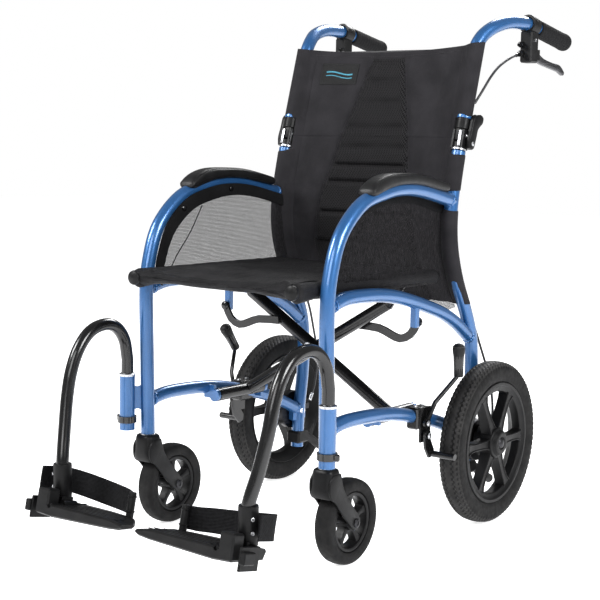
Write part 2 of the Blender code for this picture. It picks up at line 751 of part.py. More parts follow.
def push_handle(side, s):
    """The upper cane and push handle, with the tongue that turns in the hinge."""
    pivot = sided(BACK_PIVOT, s)
    up = lean() @ Vector((0, 0, 1))
    start = pivot + up * 0.0275
    path = [
        tuple(start),
        (0.2005 * s, 0.206, 0.913),
        (0.2045 * s, 0.222, 0.930),
        (0.2120 * s, 0.248, 0.946),
        (0.2180 * s, 0.290, 0.958),
        (0.2220 * s, 0.336, 0.961),
        tuple(sided(GRIP_START - GRIP_DIR * 0.020, s)),
        tuple(sided(GRIP_START + GRIP_DIR * 0.105, s)),
    ]
    cane = tube("cane", [path[0], *smooth_path(path[1:-1], 2), path[-1]], TUBE_R, 10)
    tongue = box(
        "tongue",
        pivot + Vector((-CHEEK_GAP / 2 + 0.0006, -0.0095, -0.0095)),
        pivot + Vector((CHEEK_GAP / 2 - 0.0006, 0.0095, 0.0330)),
        turn=lean(),
        about=pivot,
    )
    cane = joined(cane, tongue)
    bore = cylinder("bore", pivot - Vector((0.02, 0, 0)), pivot + Vector((0.02, 0, 0)), 0.0041, 10)
    finish(cut(cane, bore), f"push_handle_{side}", f"handle_{side}", PAINT)

    bore = TUBE_R + 0.0007
    profile = [(0.0, 0.1235), (0.0150, 0.1235), (0.0172, 0.1180), (0.0168, 0.0030), (0.0155, 0.0)]
    profile += [(bore, 0.0), (bore, 0.1060), (0.0, 0.1060)]
    grip = turned("grip", profile, (0, 0, 0), axis="Z", sides=16)
    direction = sided(GRIP_DIR, s)
    turn = direction.to_track_quat("Z", "Y").to_matrix().to_4x4()
    grip.data.transform(Matrix.Translation(sided(GRIP_START, s)) @ turn)
    finish(grip, f"handle_grip_{side}", f"handle_{side}", GRIP_FOAM)

    housing = joined(
        sided_box("housing", (0.2110, 0.3560, 0.8860), (0.2370, 0.3860, 0.9480), s, bevel=0.003),
        cylinder(
            "clamp_ring",
            sided(GRIP_START - GRIP_DIR * 0.040, s),
            sided(GRIP_START - GRIP_DIR * 0.012, s),
            0.0178,
            16,
        ),
        sided_box("lever_mount", (0.2160, 0.3700, 0.8930), (0.2203, 0.4020, 0.9130), s),
        sided_box("lever_mount_outer", (0.2277, 0.3700, 0.8930), (0.2320, 0.4020, 0.9130), s),
        sided_cylinder("lever_pin", (0.2180, *BRAKE_PIVOT.yz), (0.2300, *BRAKE_PIVOT.yz), 0.0022, s, 8),
        sided_cylinder("adjuster_upper", (0.2170, 0.3590, 0.9220), (0.2170, 0.3440, 0.9200), 0.0050, s, 10),
        sided_cylinder("adjuster_lower", (0.2170, 0.3590, 0.9050), (0.2170, 0.3420, 0.9010), 0.0050, s, 10),
    )
    tube_room = cylinder(
        "tube_room",
        sided(GRIP_START - GRIP_DIR * 0.06, s),
        sided(GRIP_START + GRIP_DIR * 0.02, s),
        TUBE_R + 0.0022,
        16,
    )
    finish(cut(housing, tube_room), f"brake_housing_{side}", f"handle_{side}", PLASTIC)


def brake_lever(side, s):
    """The attendant's brake lever: an eye on the housing's pin and a flat blade."""
    outline = [
        (0.3900, 0.8985),
        (0.3900, 0.9075),
        (0.4000, 0.9085),
        (0.4300, 0.8975),
        (0.4700, 0.8915),
        (0.5000, 0.8880),
        (0.5220, 0.8750),
        (0.5170, 0.8690),
        (0.4900, 0.8760),
        (0.4500, 0.8810),
        (0.4150, 0.8860),
    ]
    x = BRAKE_PIVOT.x * s
    blade = slab("blade", outline, "X", x - 0.0032, x + 0.0032)
    bore = cylinder("bore", (x - 0.01, *BRAKE_PIVOT.yz), (x + 0.01, *BRAKE_PIVOT.yz), 0.0027, 8)
    return finish(cut(blade, bore), f"brake_lever_{side}", f"brake_lever_{side}", DARK_METAL)


def brake_cables(side, s):
    """The cable run from the housing to the back cane, and from the cane to the hub."""
    upper = [
        (0.2170, 0.3415, 0.9009),
        (0.2165, 0.310, 0.892),
        (0.2160, 0.268, 0.874),
        (0.2180, 0.232, 0.852),
        (0.2175, 0.202, 0.824),
        (0.2120, 0.1840, 0.800),
    ]
    upper = smooth_path([sided(p, s) for p in upper], 2)
    finish(tube("cable", upper, 0.0024, 8), f"brake_cable_upper_{side}", f"handle_{side}", CABLE)
    lower = [
        (0.1980, 0.182, 0.440),
        (0.1985, 0.222, 0.390),
        (0.2040, 0.252, 0.330),
        (0.2120, 0.280, 0.260),
        (0.2195, 0.282, 0.200),
        (0.2215, 0.268, 0.1655),
    ]
    lower = smooth_path([sided(p, s) for p in lower], 2)
    finish(tube("cable", lower, 0.0024, 8), f"brake_cable_lower_{side}", f"frame_{side}", CABLE)


def release_lever(side, s):
    """The spring lever behind the back hinge that lets the upper half fold."""
    x = RELEASE_PIVOT.x * s
    outline = [
        (0.1460, 0.7140),
        (0.1460, 0.7340),
        (0.1540, 0.7530),
        (0.1600, 0.7720),
        (0.1700, 0.7780),
        (0.1830, 0.7780),
        (0.1950, 0.7720),
        (0.1920, 0.7610),
        (0.1750, 0.7490),
        (0.1690, 0.7340),
        (0.1610, 0.7150),
    ]
    wing = slab("wing", outline, "X", x - 0.0045, x + 0.0045, bevel=0.0015)
    return finish(wing, f"back_release_lever_{side}", f"release_{side}", PLASTIC)


# ---------------------------------------------------------------- upholstery
def seat_sling():
    """The padded seat, lying on the two seat rails and sagging between them."""
    y_front, y_rear = RAIL_FRONT_Y + 0.004, RAIL_REAR_Y + 0.003
    rest = RAIL_Z + RAIL_R + GAP
    outline = [
        (-0.187, rest),
        (-0.160, rest),
        (-0.130, 0.474),
        (0.0, 0.468),
        (0.130, 0.474),
        (0.160, rest),
        (0.187, rest),
        (0.1880, 0.496),
        (0.180, 0.5015),
        (0.110, 0.4960),
        (0.0, 0.4930),
        (-0.110, 0.4960),
        (-0.180, 0.5015),
        (-0.1880, 0.496),
    ]
    return finish(slab("sling", outline, "Y", y_front, y_rear, bevel=0.003), "seat_sling", "seat", CLOTH)


def back_panel(name, body, rows, sag, half_width):
    """A sheet between the canes, through (y, z) rows, bowed rearwards in the middle."""
    bm = bmesh.new()
    columns = 8
    grid = []
    for y, z in rows:
        row = []
        for column in range(columns + 1):
            t = 2 * column / columns - 1
            row.append(bm.verts.new((t * half_width, y + sag * (1 - t**4), z)))
        grid.append(row)
    for below, above in zip(grid, grid[1:]):
        for column in range(columns):
            bm.faces.new((below[column], below[column + 1], above[column + 1], above[column]))
    panel = object_from(bm, name)
    thickness = panel.modifiers.new("thickness", "SOLIDIFY")
    thickness.thickness = 0.008
    thickness.offset = 0.0
    return finish(evaluated_copy(panel, name), name, body, CLOTH)


def upholstery():
    seat_sling()
    back_panel(
        "back_sling_lower",
        "frame_right",
        [(0.165, 0.440), (0.150, 0.468), (0.127, 0.528), (0.121, 0.582), (0.126, 0.640), (0.149, 0.732)],
        0.018,
        0.1885,
    )
    back_panel(
        "back_sling_upper",
        "handle_right",
        [(0.150, 0.736), (0.162, 0.780), (0.183, 0.850), (0.203, 0.914)],
        0.020,
        0.1850,
    )


# ---------------------------------------------------------------- footrests
def plate_matrix():
    """From a footplate's own x, depth and rise to the chair's frame."""
    return Matrix.Translation((0, PLATE_FRONT_Y, PLATE_Z)) @ Matrix.Rotation(-PLATE_TILT, 4, "X")


def on_plate(obj):
    obj.data.transform(plate_matrix())
    return obj


def plate_cylinder(name, start, stop, radius, s, sides):
    return cylinder(name, sided(start, s), sided(stop, s), radius, sides)


def footplate_wedge(s):
    """The footplate, thin at its inner tip and thick at its hinge."""
    sections = [
        # x, depth, underside and top
        (PLATE_TIP_X, 0.0340, 0.0065, 0.0140),
        (0.0230, 0.0420, 0.0040, 0.0150),
        (0.0450, 0.0660, 0.0020, PLATE_TOP),
        (0.0700, 0.0780, 0.0010, PLATE_TOP),
        (0.1200, 0.0880, -0.0010, PLATE_TOP),
        (0.1800, 0.0900, -0.0030, PLATE_TOP),
        (0.2160, 0.0900, -0.0010, PLATE_TOP),
    ]
    bm = bmesh.new()
    rings = []
    for x, depth, under, top in sections:
        corners = [
            (0.0, under + 0.003),
            (0.005, under),
            (depth - 0.006, under + 0.002),
            (depth, top - 0.004),
            (depth - 0.004, top),
            (0.004, top),
            (0.0, top - 0.003),
        ]
        rings.append([bm.verts.new((x * s, across, rise)) for across, rise in corners])
    for ring, following in zip(rings, rings[1:]):
        for index in range(len(ring)):
            after = (index + 1) % len(ring)
            bm.faces.new((ring[index], ring[after], following[after], following[index]))
    bm.faces.new(rings[0])
    bm.faces.new(rings[-1][::-1])
    return object_from(bm, "plate")


def heel_loop(s):
    """The webbing behind the heel, from a post on the plate round the hanger's foot."""
    post_x, post_depth = HEEL_POST
    rows = [
        # x, depth, lower and upper edge
        (post_x, post_depth, 0.0310, 0.0595),
        (0.0690, 0.0765, 0.0300, 0.0595),
        (0.0780, 0.0830, 0.0215, 0.0600),
        (0.1000, 0.0930, 0.0225, 0.0620),
        (0.1500, 0.1020, 0.0250, 0.0660),
        (0.1950, 0.1000, 0.0290, 0.0710),
        (0.2260, 0.0880, 0.0330, 0.0750),
        (0.2400, 0.0660, 0.0350, 0.0770),
        (0.2430, 0.0280, 0.0360, 0.0760),
    ]
    bm = bmesh.new()
    rings = []
    for index, (x, depth, low, high) in enumerate(rows):
        before, after = rows[max(index - 1, 0)], rows[min(index + 1, len(rows) - 1)]
        along = Vector((after[0] - before[0], after[1] - before[1], 0)).normalized()
        across = Vector((-along.y, along.x, 0)) * WEBBING_HALF
        corners = [(-across, low), (across, low), (across, high), (-across, high)]
        rings.append([bm.verts.new(((x + o.x) * s, depth + o.y, rise)) for o, rise in corners])
    for ring, following in zip(rings, rings[1:]):
        for index in range(4):
            after = (index + 1) % 4
            bm.faces.new((ring[index], ring[after], following[after], following[index]))
    bm.faces.new(rings[0])
    bm.faces.new(rings[-1][::-1])
    post = plate_cylinder("post", (*HEEL_POST, 0.0300), (*HEEL_POST, 0.0600), 0.0062, s, 12)
    return joined(object_from(bm, "band"), post)


def footrest(side, s):
    hanger_path = [
        (0.2275, -0.2900, 0.196),
        (0.2275, -0.2900, 0.320),
        (0.2273, -0.2985, 0.356),
        (0.2268, -0.3200, 0.381),
        (0.2262, -0.3500, 0.389),
        (0.2255, -0.3860, 0.380),
        (0.2250, -0.4140, 0.353),
        (0.2250, -0.4320, 0.315),
        (0.2240, -0.4430, 0.270),
        (0.2170, -0.4560, 0.212),
        (0.2080, -0.4690, 0.160),
        (0.2070, -0.4700, 0.124),
    ]
    path = [sided(p, s) for p in hanger_path]
    hanger = tube("hanger", path, HANGER_R, 10)
    finish(hanger, f"footrest_hanger_{side}", f"hanger_{side}", BLACK_STEEL)

    bracket = on_plate(
        joined(
            plate_cylinder("knuckle", (FLIP_X, 0.031, FLIP_RISE), (FLIP_X, 0.061, FLIP_RISE), 0.0092, s, 14),
            sided_box("web", (0.1910, 0.0340, 0.0100), (0.2200, 0.0600, 0.0300), s),
            sided_box("bridge", (0.2150, 0.0380, 0.0160), (0.2310, 0.0500, 0.0260), s),
            sided_box("blade", (0.2295, 0.0040, -0.0120), (0.2345, 0.0500, 0.0260), s, bevel=0.001),
            sided_box("stop_block", (0.2330, 0.0000, -0.0010), (0.2450, 0.0280, 0.0190), s, bevel=0.002),
            plate_cylinder("flip_pin", (FLIP_X, 0.004, FLIP_RISE), (FLIP_X, 0.088, FLIP_RISE), 0.0038, s, 10),
        )
    )
    hanger_end = Vector((0.2079, -0.4688, 0.0))
    low, high = hanger_end + Vector((0, 0, 0.096)), hanger_end + Vector((0, 0, 0.159))
    sleeve = sided_cylinder("sleeve", low, high, 0.0158, s, 16)
    bracket = joined(bracket, sleeve)
    low, high = hanger_end + Vector((0, 0, 0.1215)), hanger_end + Vector((0, 0, 0.18))
    tube_room = sided_cylinder("tube_room", low, high, HANGER_R + 0.0022, s, 16)
    finish(cut(bracket, tube_room), f"footplate_bracket_{side}", f"hanger_{side}", PLASTIC)

    plate = footplate_wedge(s)
    block = sided_box("hinge_block", (0.1900, 0.0000, 0.0000), (0.2190, 0.0280, 0.0430), s, bevel=0.003)
    post = plate_cylinder("post_foot", (*HEEL_POST, 0.010), (*HEEL_POST, 0.0290), 0.0065, s, 12)
    plate = joined(plate, block, post)
    notch = sided_box("notch", (0.1740, 0.0290, -0.02), (0.24, 0.0670, 0.06), s)
    bore = plate_cylinder("bore", (FLIP_X, -0.01, FLIP_RISE), (FLIP_X, 0.11, FLIP_RISE), 0.0044, s, 10)
    plate = on_plate(cut(plate, notch, bore))
    finish(plate, f"footplate_{side}", f"footplate_{side}", PLASTIC)
    finish(on_plate(heel_loop(s)), f"heel_loop_{side}", f"footplate_{side}", WEBBING)

    bottom = sided(SOCKET, s) + Vector((0, 0, 0.014))
    collar = joined(
        cylinder("collar", bottom, bottom + Vector((0, 0, 0.012)), 0.0178, 16),
        sided_box("thumb_tab", (0.2400, -0.2940, 0.2020), (0.2520, -0.2860, 0.2140), s, bevel=0.002),
    )
    room = cylinder("room", bottom - Vector((0, 0, 0.01)), bottom + Vector((0, 0, 0.03)), 0.0147, 16)
    finish(cut(collar, room), f"hanger_latch_{side}", f"latch_{side}", PLASTIC)


# ---------------------------------------------------------------- parking brake
def turned_about_x(obj, pivot, angle):
    turn = Matrix.Rotation(angle, 4, "X")
    obj.data.transform(Matrix.Translation(pivot) @ turn @ Matrix.Translation(-pivot))
    return obj


def parking_brake(side, s):
    plate_x = PARK_PIVOT.x
    bracket = joined(
        sided_box("clamp", (0.1955, 0.0000, 0.2040), (0.2200, 0.0420, 0.2440), s, bevel=0.003),
        sided_box("plate", (0.2185, 0.0080, 0.1800), (0.2225, 0.0420, 0.2440), s),
        sided_cylinder("lever_pin", (0.2200, *PARK_PIVOT.yz), (0.2330, *PARK_PIVOT.yz), 0.0032, s, 10),
        sided_cylinder("shoe_pin", (0.2200, *SHOE_PIVOT.yz), (0.2330, *SHOE_PIVOT.yz), 0.0032, s, 10),
    )
    room = tube("arch_room", smooth_path(on_plane(FRAME_X * s, lower_arch_points()), 2), TUBE_R + 0.0004, 10)
    finish(cut(bracket, room), f"parking_brake_bracket_{side}", f"frame_{side}", BLACK_STEEL)

    low_x, high_x = plate_x - 0.0120, plate_x - 0.0075
    shorter = LEVER_SHORTER[s]
    rod_path = [
        Vector((0.2285, 0.022, 0.222)),
        Vector((0.2330, 0.038, 0.252)),
        Vector((0.2430, 0.094, 0.292)) + shorter,
        Vector((0.2440, 0.100, 0.312)) + shorter,
    ]
    rod = tube("rod", [sided(p, s) for p in rod_path], 0.0042, 8)
    eye = sided_cylinder("eye", (low_x, *PARK_PIVOT.yz), (high_x, *PARK_PIVOT.yz), 0.0090, s, 12)
    knob_low = Vector((0.2442, 0.1010, 0.296)) + shorter
    knob_high = Vector((0.2450, 0.0970, 0.351)) + shorter
    knob = cylinder("knob", sided(knob_low, s), sided(knob_high, s), 0.0085, 12, end_radius=0.0112)
    lever = joined(rod, eye, knob)
    bore = sided_cylinder("bore", (0.21, *PARK_PIVOT.yz), (0.25, *PARK_PIVOT.yz), 0.0038, s, 10)
    lever = turned_about_x(cut(lever, bore), sided(PARK_PIVOT, s), PARK_TURN[s])
    finish(lever, f"parking_brake_lever_{side}", f"parking_lever_{side}", RUBBER_BLACK)

    arm_outline = [
        (0.0130, 0.2000),
        (0.0300, 0.2000),
        (0.0310, 0.1850),
        (0.0440, 0.1640),
        (0.0410, 0.1520),
        (0.0280, 0.1500),
        (0.0140, 0.1700),
        (0.0110, 0.1900),
    ]
    arm = slab("arm", arm_outline, "X", low_x * s, high_x * s)
    shoe_bar = sided_cylinder("bar", (0.2270, 0.0355, 0.1570), (0.2800, 0.0355, 0.1570), 0.0062, s, 12)
    arm = joined(arm, shoe_bar)
    bore = sided_cylinder("bore", (0.21, *SHOE_PIVOT.yz), (0.25, *SHOE_PIVOT.yz), 0.0038, s, 10)
    arm = turned_about_x(cut(arm, bore), sided(SHOE_PIVOT, s), PARK_TURN[s] * SHOE_SHARE)
    finish(arm, f"parking_brake_shoe_{side}", f"parking_shoe_{side}", BLACK_STEEL)


def tipping_lever(side, s):
    """The foot lever on the post's tail, for lifting the casters over a kerb."""
    x = FRAME_X * s
    bar_path = on_plane(x, [(0.2200, 0.0985), (0.2400, 0.0930), (0.2700, 0.0740), (0.3050, 0.0560)])
    bar = tube("bar", smooth_path(bar_path, 1), 0.0085, 8)
    saddle = box("saddle", (x - 0.0170, 0.1860, 0.0870), (x + 0.0170, 0.2240, 0.1120), bevel=0.004)
    lever = joined(bar, saddle)
    room = tube("post_room", post_path(s)[:5], TUBE_R + 0.0009, 10)
    under = box("under_room", (x - 0.0129, 0.1915, 0.0700), (x + 0.0129, 0.2140, 0.0960))
    return finish(cut(lever, room, under), f"tipping_lever_{side}", f"frame_{side}", RUBBER_BLACK)


# ---------------------------------------------------------------- build
clear_scene()
CHAIR = new_collection("transport_wheelchair")
CUTTERS = new_collection("cutters")
PAINT = new_material("blue_paint", BLUE, 0.28, 0.6)
BLACK_STEEL = new_material("black_paint", BLACK_PAINT, 0.35, 0.3)
DARK_METAL = new_material("dark_metal", (0.05, 0.05, 0.055, 1), 0.4, 0.8)
STEEL_BRIGHT = new_material("bright_steel", STEEL, 0.3, 1.0)
PLASTIC = new_material("black_plastic", BLACK_PLASTIC, 0.5)
RUBBER_BLACK = new_material("black_rubber", RUBBER, 0.65)
TYRE = new_material("tyre_rubber", RUBBER, 0.75)
PAD = new_material("arm_pad", BLACK_PLASTIC, 0.45)
GRIP_FOAM = new_material("grip_foam", RUBBER, 0.8)
CABLE = new_material("cable_sheath", (0.09, 0.09, 0.09, 1), 0.5)
CLOTH = new_material("upholstery", FABRIC, 0.85)
MESH_CLOTH = new_material("mesh_cloth", FABRIC, 0.9)
WEBBING = new_material("webbing", FABRIC, 0.9)

new_body("frame_right", (0, 0, 0))
new_body("brace_a", (-PIVOT_X, 0, PIVOT_Z), "frame_right")
new_body("brace_b", (0, 0, CENTRE_Z), "brace_a")
new_body("frame_left", (PIVOT_X, 0, PIVOT_Z), "brace_b")
new_body("seat", (RAIL_X, 0, RAIL_Z), "brace_a")
for SIDE, S in SIDES.items():
    HOME = f"frame_{SIDE}"
    new_body(f"link_{SIDE}", sided(LINK_FRAME, S), HOME)
    new_body(f"caster_{SIDE}", (FRAME_X * S, LEG_Y, LEG_BOTTOM_Z), HOME)
    new_body(f"caster_wheel_{SIDE}", (FRAME_X * S, LEG_Y + CASTER_TRAIL, CASTER_R), f"caster_{SIDE}")
    new_body(f"rear_wheel_{SIDE}", sided(REAR_AXLE, S), HOME)
    new_body(f"handle_{SIDE}", sided(BACK_PIVOT, S), HOME)
    new_body(f"brake_lever_{SIDE}", sided(BRAKE_PIVOT, S), f"handle_{SIDE}")
    new_body(f"release_{SIDE}", sided(RELEASE_PIVOT, S), HOME)
    new_body(f"hanger_{SIDE}", sided(SOCKET, S), HOME)
    flip_point = plate_matrix() @ Vector((FLIP_X, 0.045, FLIP_RISE))
    new_body(f"footplate_{SIDE}", sided(flip_point, S), f"hanger_{SIDE}")
    new_body(f"latch_{SIDE}", sided(SOCKET, S), HOME)
    new_body(f"parking_lever_{SIDE}", sided(PARK_PIVOT, S), HOME)
    new_body(f"parking_shoe_{SIDE}", sided(SHOE_PIVOT, S), HOME)

for SIDE, S in SIDES.items():
    side_frame(SIDE, S)
    link_arm(SIDE, S)
    caster(SIDE, S)
    rear_wheel(SIDE, S)
    armrest_pad(SIDE, S)
    side_guard(SIDE, S)
    back_hinge(SIDE, S)
    push_handle(SIDE, S)
    brake_lever(SIDE, S)
    brake_cables(SIDE, S)
    release_lever(SIDE, S)
    footrest(SIDE, S)
    parking_brake(SIDE, S)
    tipping_lever(SIDE, S)
cross_brace("a", -1, BRACE_A_Y)
cross_brace("b", 1, BRACE_B_Y)
centre_bolt()
upholstery()
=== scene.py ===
"""Looks of the folding transport wheelchair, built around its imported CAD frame."""
import math

import bmesh
import bpy
import numpy as np
from mathutils import Matrix, Vector, noise


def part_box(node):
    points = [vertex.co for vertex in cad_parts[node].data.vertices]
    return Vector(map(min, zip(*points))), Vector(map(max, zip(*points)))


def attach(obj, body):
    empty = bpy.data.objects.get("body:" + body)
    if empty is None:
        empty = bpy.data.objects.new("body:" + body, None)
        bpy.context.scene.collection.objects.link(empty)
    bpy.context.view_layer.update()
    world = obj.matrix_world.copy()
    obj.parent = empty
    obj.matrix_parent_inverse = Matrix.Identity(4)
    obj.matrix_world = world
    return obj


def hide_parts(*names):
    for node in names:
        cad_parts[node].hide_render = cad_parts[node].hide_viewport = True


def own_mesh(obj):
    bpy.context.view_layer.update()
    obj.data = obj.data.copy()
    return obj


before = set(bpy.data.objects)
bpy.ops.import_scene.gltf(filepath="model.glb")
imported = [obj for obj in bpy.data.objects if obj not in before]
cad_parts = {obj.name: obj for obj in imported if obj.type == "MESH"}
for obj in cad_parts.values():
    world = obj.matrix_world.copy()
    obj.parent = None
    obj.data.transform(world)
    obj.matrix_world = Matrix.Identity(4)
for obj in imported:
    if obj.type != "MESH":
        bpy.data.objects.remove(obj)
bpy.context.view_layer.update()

SIDES = {"left": 1, "right": -1}
FRAME_X = 0.204             # side-frame plane
TUBE_R = 0.013             # main frame tube, with its paint
REAR_R, CASTER_R = 0.1555, 0.075
CASTER_AXLE = Vector((FRAME_X, -0.197, 0.075))
BACK_PIVOT = Vector((0.203, 0.152, 0.738))
LEAN = Matrix.Rotation(math.radians(-16), 3, "X")
GRIP_DIR = Vector((0.003, 0.152, -0.025)).normalized()
GRIP_START = Vector((0.224, 0.4, 0.9554))
PIVOT_X, PIVOT_Z, CROSS_Z = 0.178, 0.232, 0.34     # the braces' feet and crossing
RAIL_X, RAIL_Z = 0.176, 0.476                       # the seat's rails
WHEEL_AXLE_YZ = (0.206, 0.1555)
REAR_AXLE = Vector((0.254, *WHEEL_AXLE_YZ))
SPOKE_TURN = math.radians(-1)
WORLD_LIGHT, FLOOR_GLOW, VIEW_GAMMA = 0.3, 0.76, 0.92
PLATE = Matrix.Translation((0, -0.524, 0.083)) @ Matrix.Rotation(math.radians(-12), 4, "X")


# ---------------------------------------------------------------- materials
class Paint:
    """A Principled material whose detail comes from procedural nodes."""

    def __init__(self, name, colour, roughness, metallic=0.0, **constants):
        self.mat = bpy.data.materials.new(name)
        self.mat.use_nodes = True
        self.mat.diffuse_color = (*colour, 1)
        self.tree = self.mat.node_tree
        self.bsdf = self.tree.nodes["Principled BSDF"]
        self.set("Base Color", (*colour, 1))
        self.set("Roughness", roughness)
        self.set("Metallic", metallic)
        for socket, value in constants.items():
            self.set(socket.replace("_", " "), value)
        self.place = self.new("ShaderNodeTexCoord").outputs["Object"]

    def new(self, kind, **settings):
        node = self.tree.nodes.new(kind)
        for key, value in settings.items():
            setattr(node, key, value)
        return node

    def set(self, socket, value):
        self.bsdf.inputs[socket].default_value = value

    def feed(self, socket, source):
        self.tree.links.new(source, socket)

    def stretched(self, scale):
        node = self.new("ShaderNodeMapping")
        node.inputs["Scale"].default_value = scale
        self.feed(node.inputs["Vector"], self.place)
        return node.outputs["Vector"]

    def noise(self, scale, detail=3.0, where=None):
        node = self.new("ShaderNodeTexNoise")
        node.inputs["Scale"].default_value = scale
        node.inputs["Detail"].default_value = detail
        self.feed(node.inputs["Vector"], where or self.place)
        return node.outputs["Fac"]

    def cells(self, scale, where=None, feature="F1"):
        node = self.new("ShaderNodeTexVoronoi", feature=feature)
        node.inputs["Scale"].default_value = scale
        self.feed(node.inputs["Vector"], where or self.place)
        return node.outputs["Distance"]

    def math(self, kind, a, b=0.0):
        node = self.new("ShaderNodeMath", operation=kind)
        for socket, value in zip(node.inputs, (a, b)):
            if isinstance(value, (int, float)):
                socket.default_value = value
            else:
                self.feed(socket, value)
        return node.outputs["Value"]

    def axis(self, *weights):
        """weights[0] x + weights[1] y + weights[2] z of the point."""
        node = self.new("ShaderNodeVectorMath", operation="DOT_PRODUCT")
        self.feed(node.inputs[0], self.place)
        node.inputs[1].default_value = weights
        return node.outputs["Value"]

    def wave(self, pitch, *weights):
        """A sine of that pitch, in metres, along a direction."""
        return self.math("SINE", self.math("MULTIPLY", self.axis(*weights), math.tau / pitch))

    def between(self, fac, low, high, fac_low=0.0, fac_high=1.0):
        """Maps fac to a number or a colour."""
        if isinstance(low, tuple):
            node = self.new("ShaderNodeValToRGB")
            node.color_ramp.elements[0].position = fac_low
            node.color_ramp.elements[1].position = fac_high
            node.color_ramp.elements[0].color = (*low, 1)
            node.color_ramp.elements[1].color = (*high, 1)
            self.feed(node.inputs["Fac"], fac)
            return node.outputs["Color"]
        node = self.new("ShaderNodeMapRange")
        for socket, value in zip(node.inputs[1:5], (fac_low, fac_high, low, high)):
            socket.default_value = value
        self.feed(node.inputs["Value"], fac)
        return node.outputs["Result"]

    def colour(self, fac, low, high, fac_low=0.3, fac_high=0.7):
        self.feed(self.bsdf.inputs["Base Color"], self.between(fac, low, high, fac_low, fac_high))

    def rough(self, fac, low, high, fac_low=0.3, fac_high=0.7):
        self.feed(self.bsdf.inputs["Roughness"], self.between(fac, low, high, fac_low, fac_high))

    def bump(self, height, strength, distance):
        node = self.new("ShaderNodeBump")
        node.inputs["Strength"].default_value = strength
        node.inputs["Distance"].default_value = distance
        self.feed(node.inputs["Height"], height)
        earlier = self.bsdf.inputs["Normal"].links
        if earlier:
            self.feed(node.inputs["Normal"], earlier[0].from_socket)
        self.feed(self.bsdf.inputs["Normal"], node.outputs["Normal"])


def make_paint(name, dark, light, roughness, metallic, flake, **more):
    paint = Paint(name, light, roughness, metallic, **more)
    paint.colour(paint.cells(flake), dark, light, 0.15, 0.75)
    paint.rough(paint.noise(35.0, 4.0), roughness * 0.85, roughness * 1.2)
    paint.bump(paint.noise(420.0, 2.0), 0.05, 0.0006)
    paint.bump(paint.cells(flake), 0.05, 0.0002)
    return paint.mat


def make_plastic(name, dark, light, roughness, grain, strength=0.25, **more):
    paint = Paint(name, dark, roughness, **more)
    paint.colour(paint.noise(45.0, 5.0), dark, light)
    paint.rough(paint.noise(120.0, 4.0), roughness * 0.85, roughness * 1.15)
    paint.bump(paint.cells(grain), strength, 0.0003)
    return paint.mat


def make_metal(name, dark, light, roughness, along, **more):
    paint = Paint(name, light, roughness, 1.0, **more)
    brushed = paint.noise(1.0, 4.0, paint.stretched(along))
    paint.colour(brushed, dark, light)
    paint.rough(brushed, roughness * 0.75, roughness * 1.35)
    paint.bump(brushed, 0.12, 0.0002)
    return paint.mat


def make_cloth(name, dark, light, pitch, warp, weft, roughness=0.82, depth=0.5, **more):
    """Plain weave: threads of that pitch along two directions, over slow folds. Its colour is painted shade
    that follows the relief: darker in the fold hollows and between the threads, lighter on their crests.
    """
    paint = Paint(name, dark, roughness, **more)
    weave = paint.math("MULTIPLY", paint.wave(pitch, *warp), paint.wave(pitch, *weft))
    fold_relief_and_shade = paint.noise(22.0, 5.0)
    fuzz = paint.noise(900.0, 2.0)
    # Painted shade: the colour is darker where the weave and the slow folds sink, and lighter on their
    # crests.
    paint.colour(paint.math("ADD", paint.math("MULTIPLY", weave, 0.16), fold_relief_and_shade), dark, light, 0.25, 0.8)
    paint.rough(fuzz, roughness - 0.08, roughness + 0.1)
    paint.bump(fold_relief_and_shade, 0.35, 0.004)
    paint.bump(paint.noise(70.0, 3.0), 0.3, 0.0016)
    paint.bump(weave, depth, 0.0004)
    return paint.mat


def make_net(name, dark, light, pitch, hole, **more):
    """Knitted net, whose holes are see-through, on a panel that faces along X."""
    paint = Paint(name, dark, 0.85, **more)
    cross = paint.math("MULTIPLY", paint.wave(pitch, 0, 1, 0.55), paint.wave(pitch, 0, 1, -0.55))
    round_hole = paint.math("ABSOLUTE", cross)
    streaks = paint.noise(1.0, 3.0, paint.stretched((300.0, 700.0, 110.0)))
    paint.colour(streaks, dark, light, 0.38, 0.68)
    paint.bump(round_hole, 0.7, 0.0006)
    paint.bump(paint.noise(16.0, 3.0), 0.5, 0.008)
    paint.feed(paint.bsdf.inputs["Alpha"], paint.between(round_hole, 1.0, 0.0, hole, hole + 0.08))
    return paint.mat


def make_spacer(name):
    """Deep knitted spacer mesh, black, on a panel that faces along Y; its recessed dimples are painted
    darker, a painted shade.
    """
    paint = Paint(name, (0.008, 0.008, 0.009), 0.8, Specular_IOR_Level=0.12)
    cross = paint.math("MULTIPLY", paint.wave(0.0078, 1, 0, 0.6), paint.wave(0.0078, 1, 0, -0.6))
    dimple = paint.math("ABSOLUTE", cross)
    # Painted shade: the dimples, which the bump below sinks, are painted darker than the threads around them.
    paint.colour(dimple, (0.036, 0.035, 0.037), (0.0025, 0.0025, 0.003), 0.25, 0.6)
    paint.bump(dimple, 0.9, -0.0012)
    paint.bump(paint.noise(800.0, 2.0), 0.3, 0.0003)
    return paint.mat


def make_webbing(name, weights):
    paint = Paint(name, (0.016, 0.016, 0.017), 0.75, Specular_IOR_Level=0.15)
    ribs = paint.wave(0.0021, *weights)
    # Painted shade: darker in the grooves between the ribs and lighter on their crests, over random tone from
    # noise.
    paint.colour(
        paint.math("ADD", paint.math("MULTIPLY", ribs, 0.25), paint.noise(200.0)), (0.0055, 0.0055, 0.006),
        (0.019, 0.019, 0.021)
    )
    paint.bump(ribs, 0.7, 0.0005)
    paint.bump(paint.noise(600.0), 0.3, 0.0003)
    return paint.mat


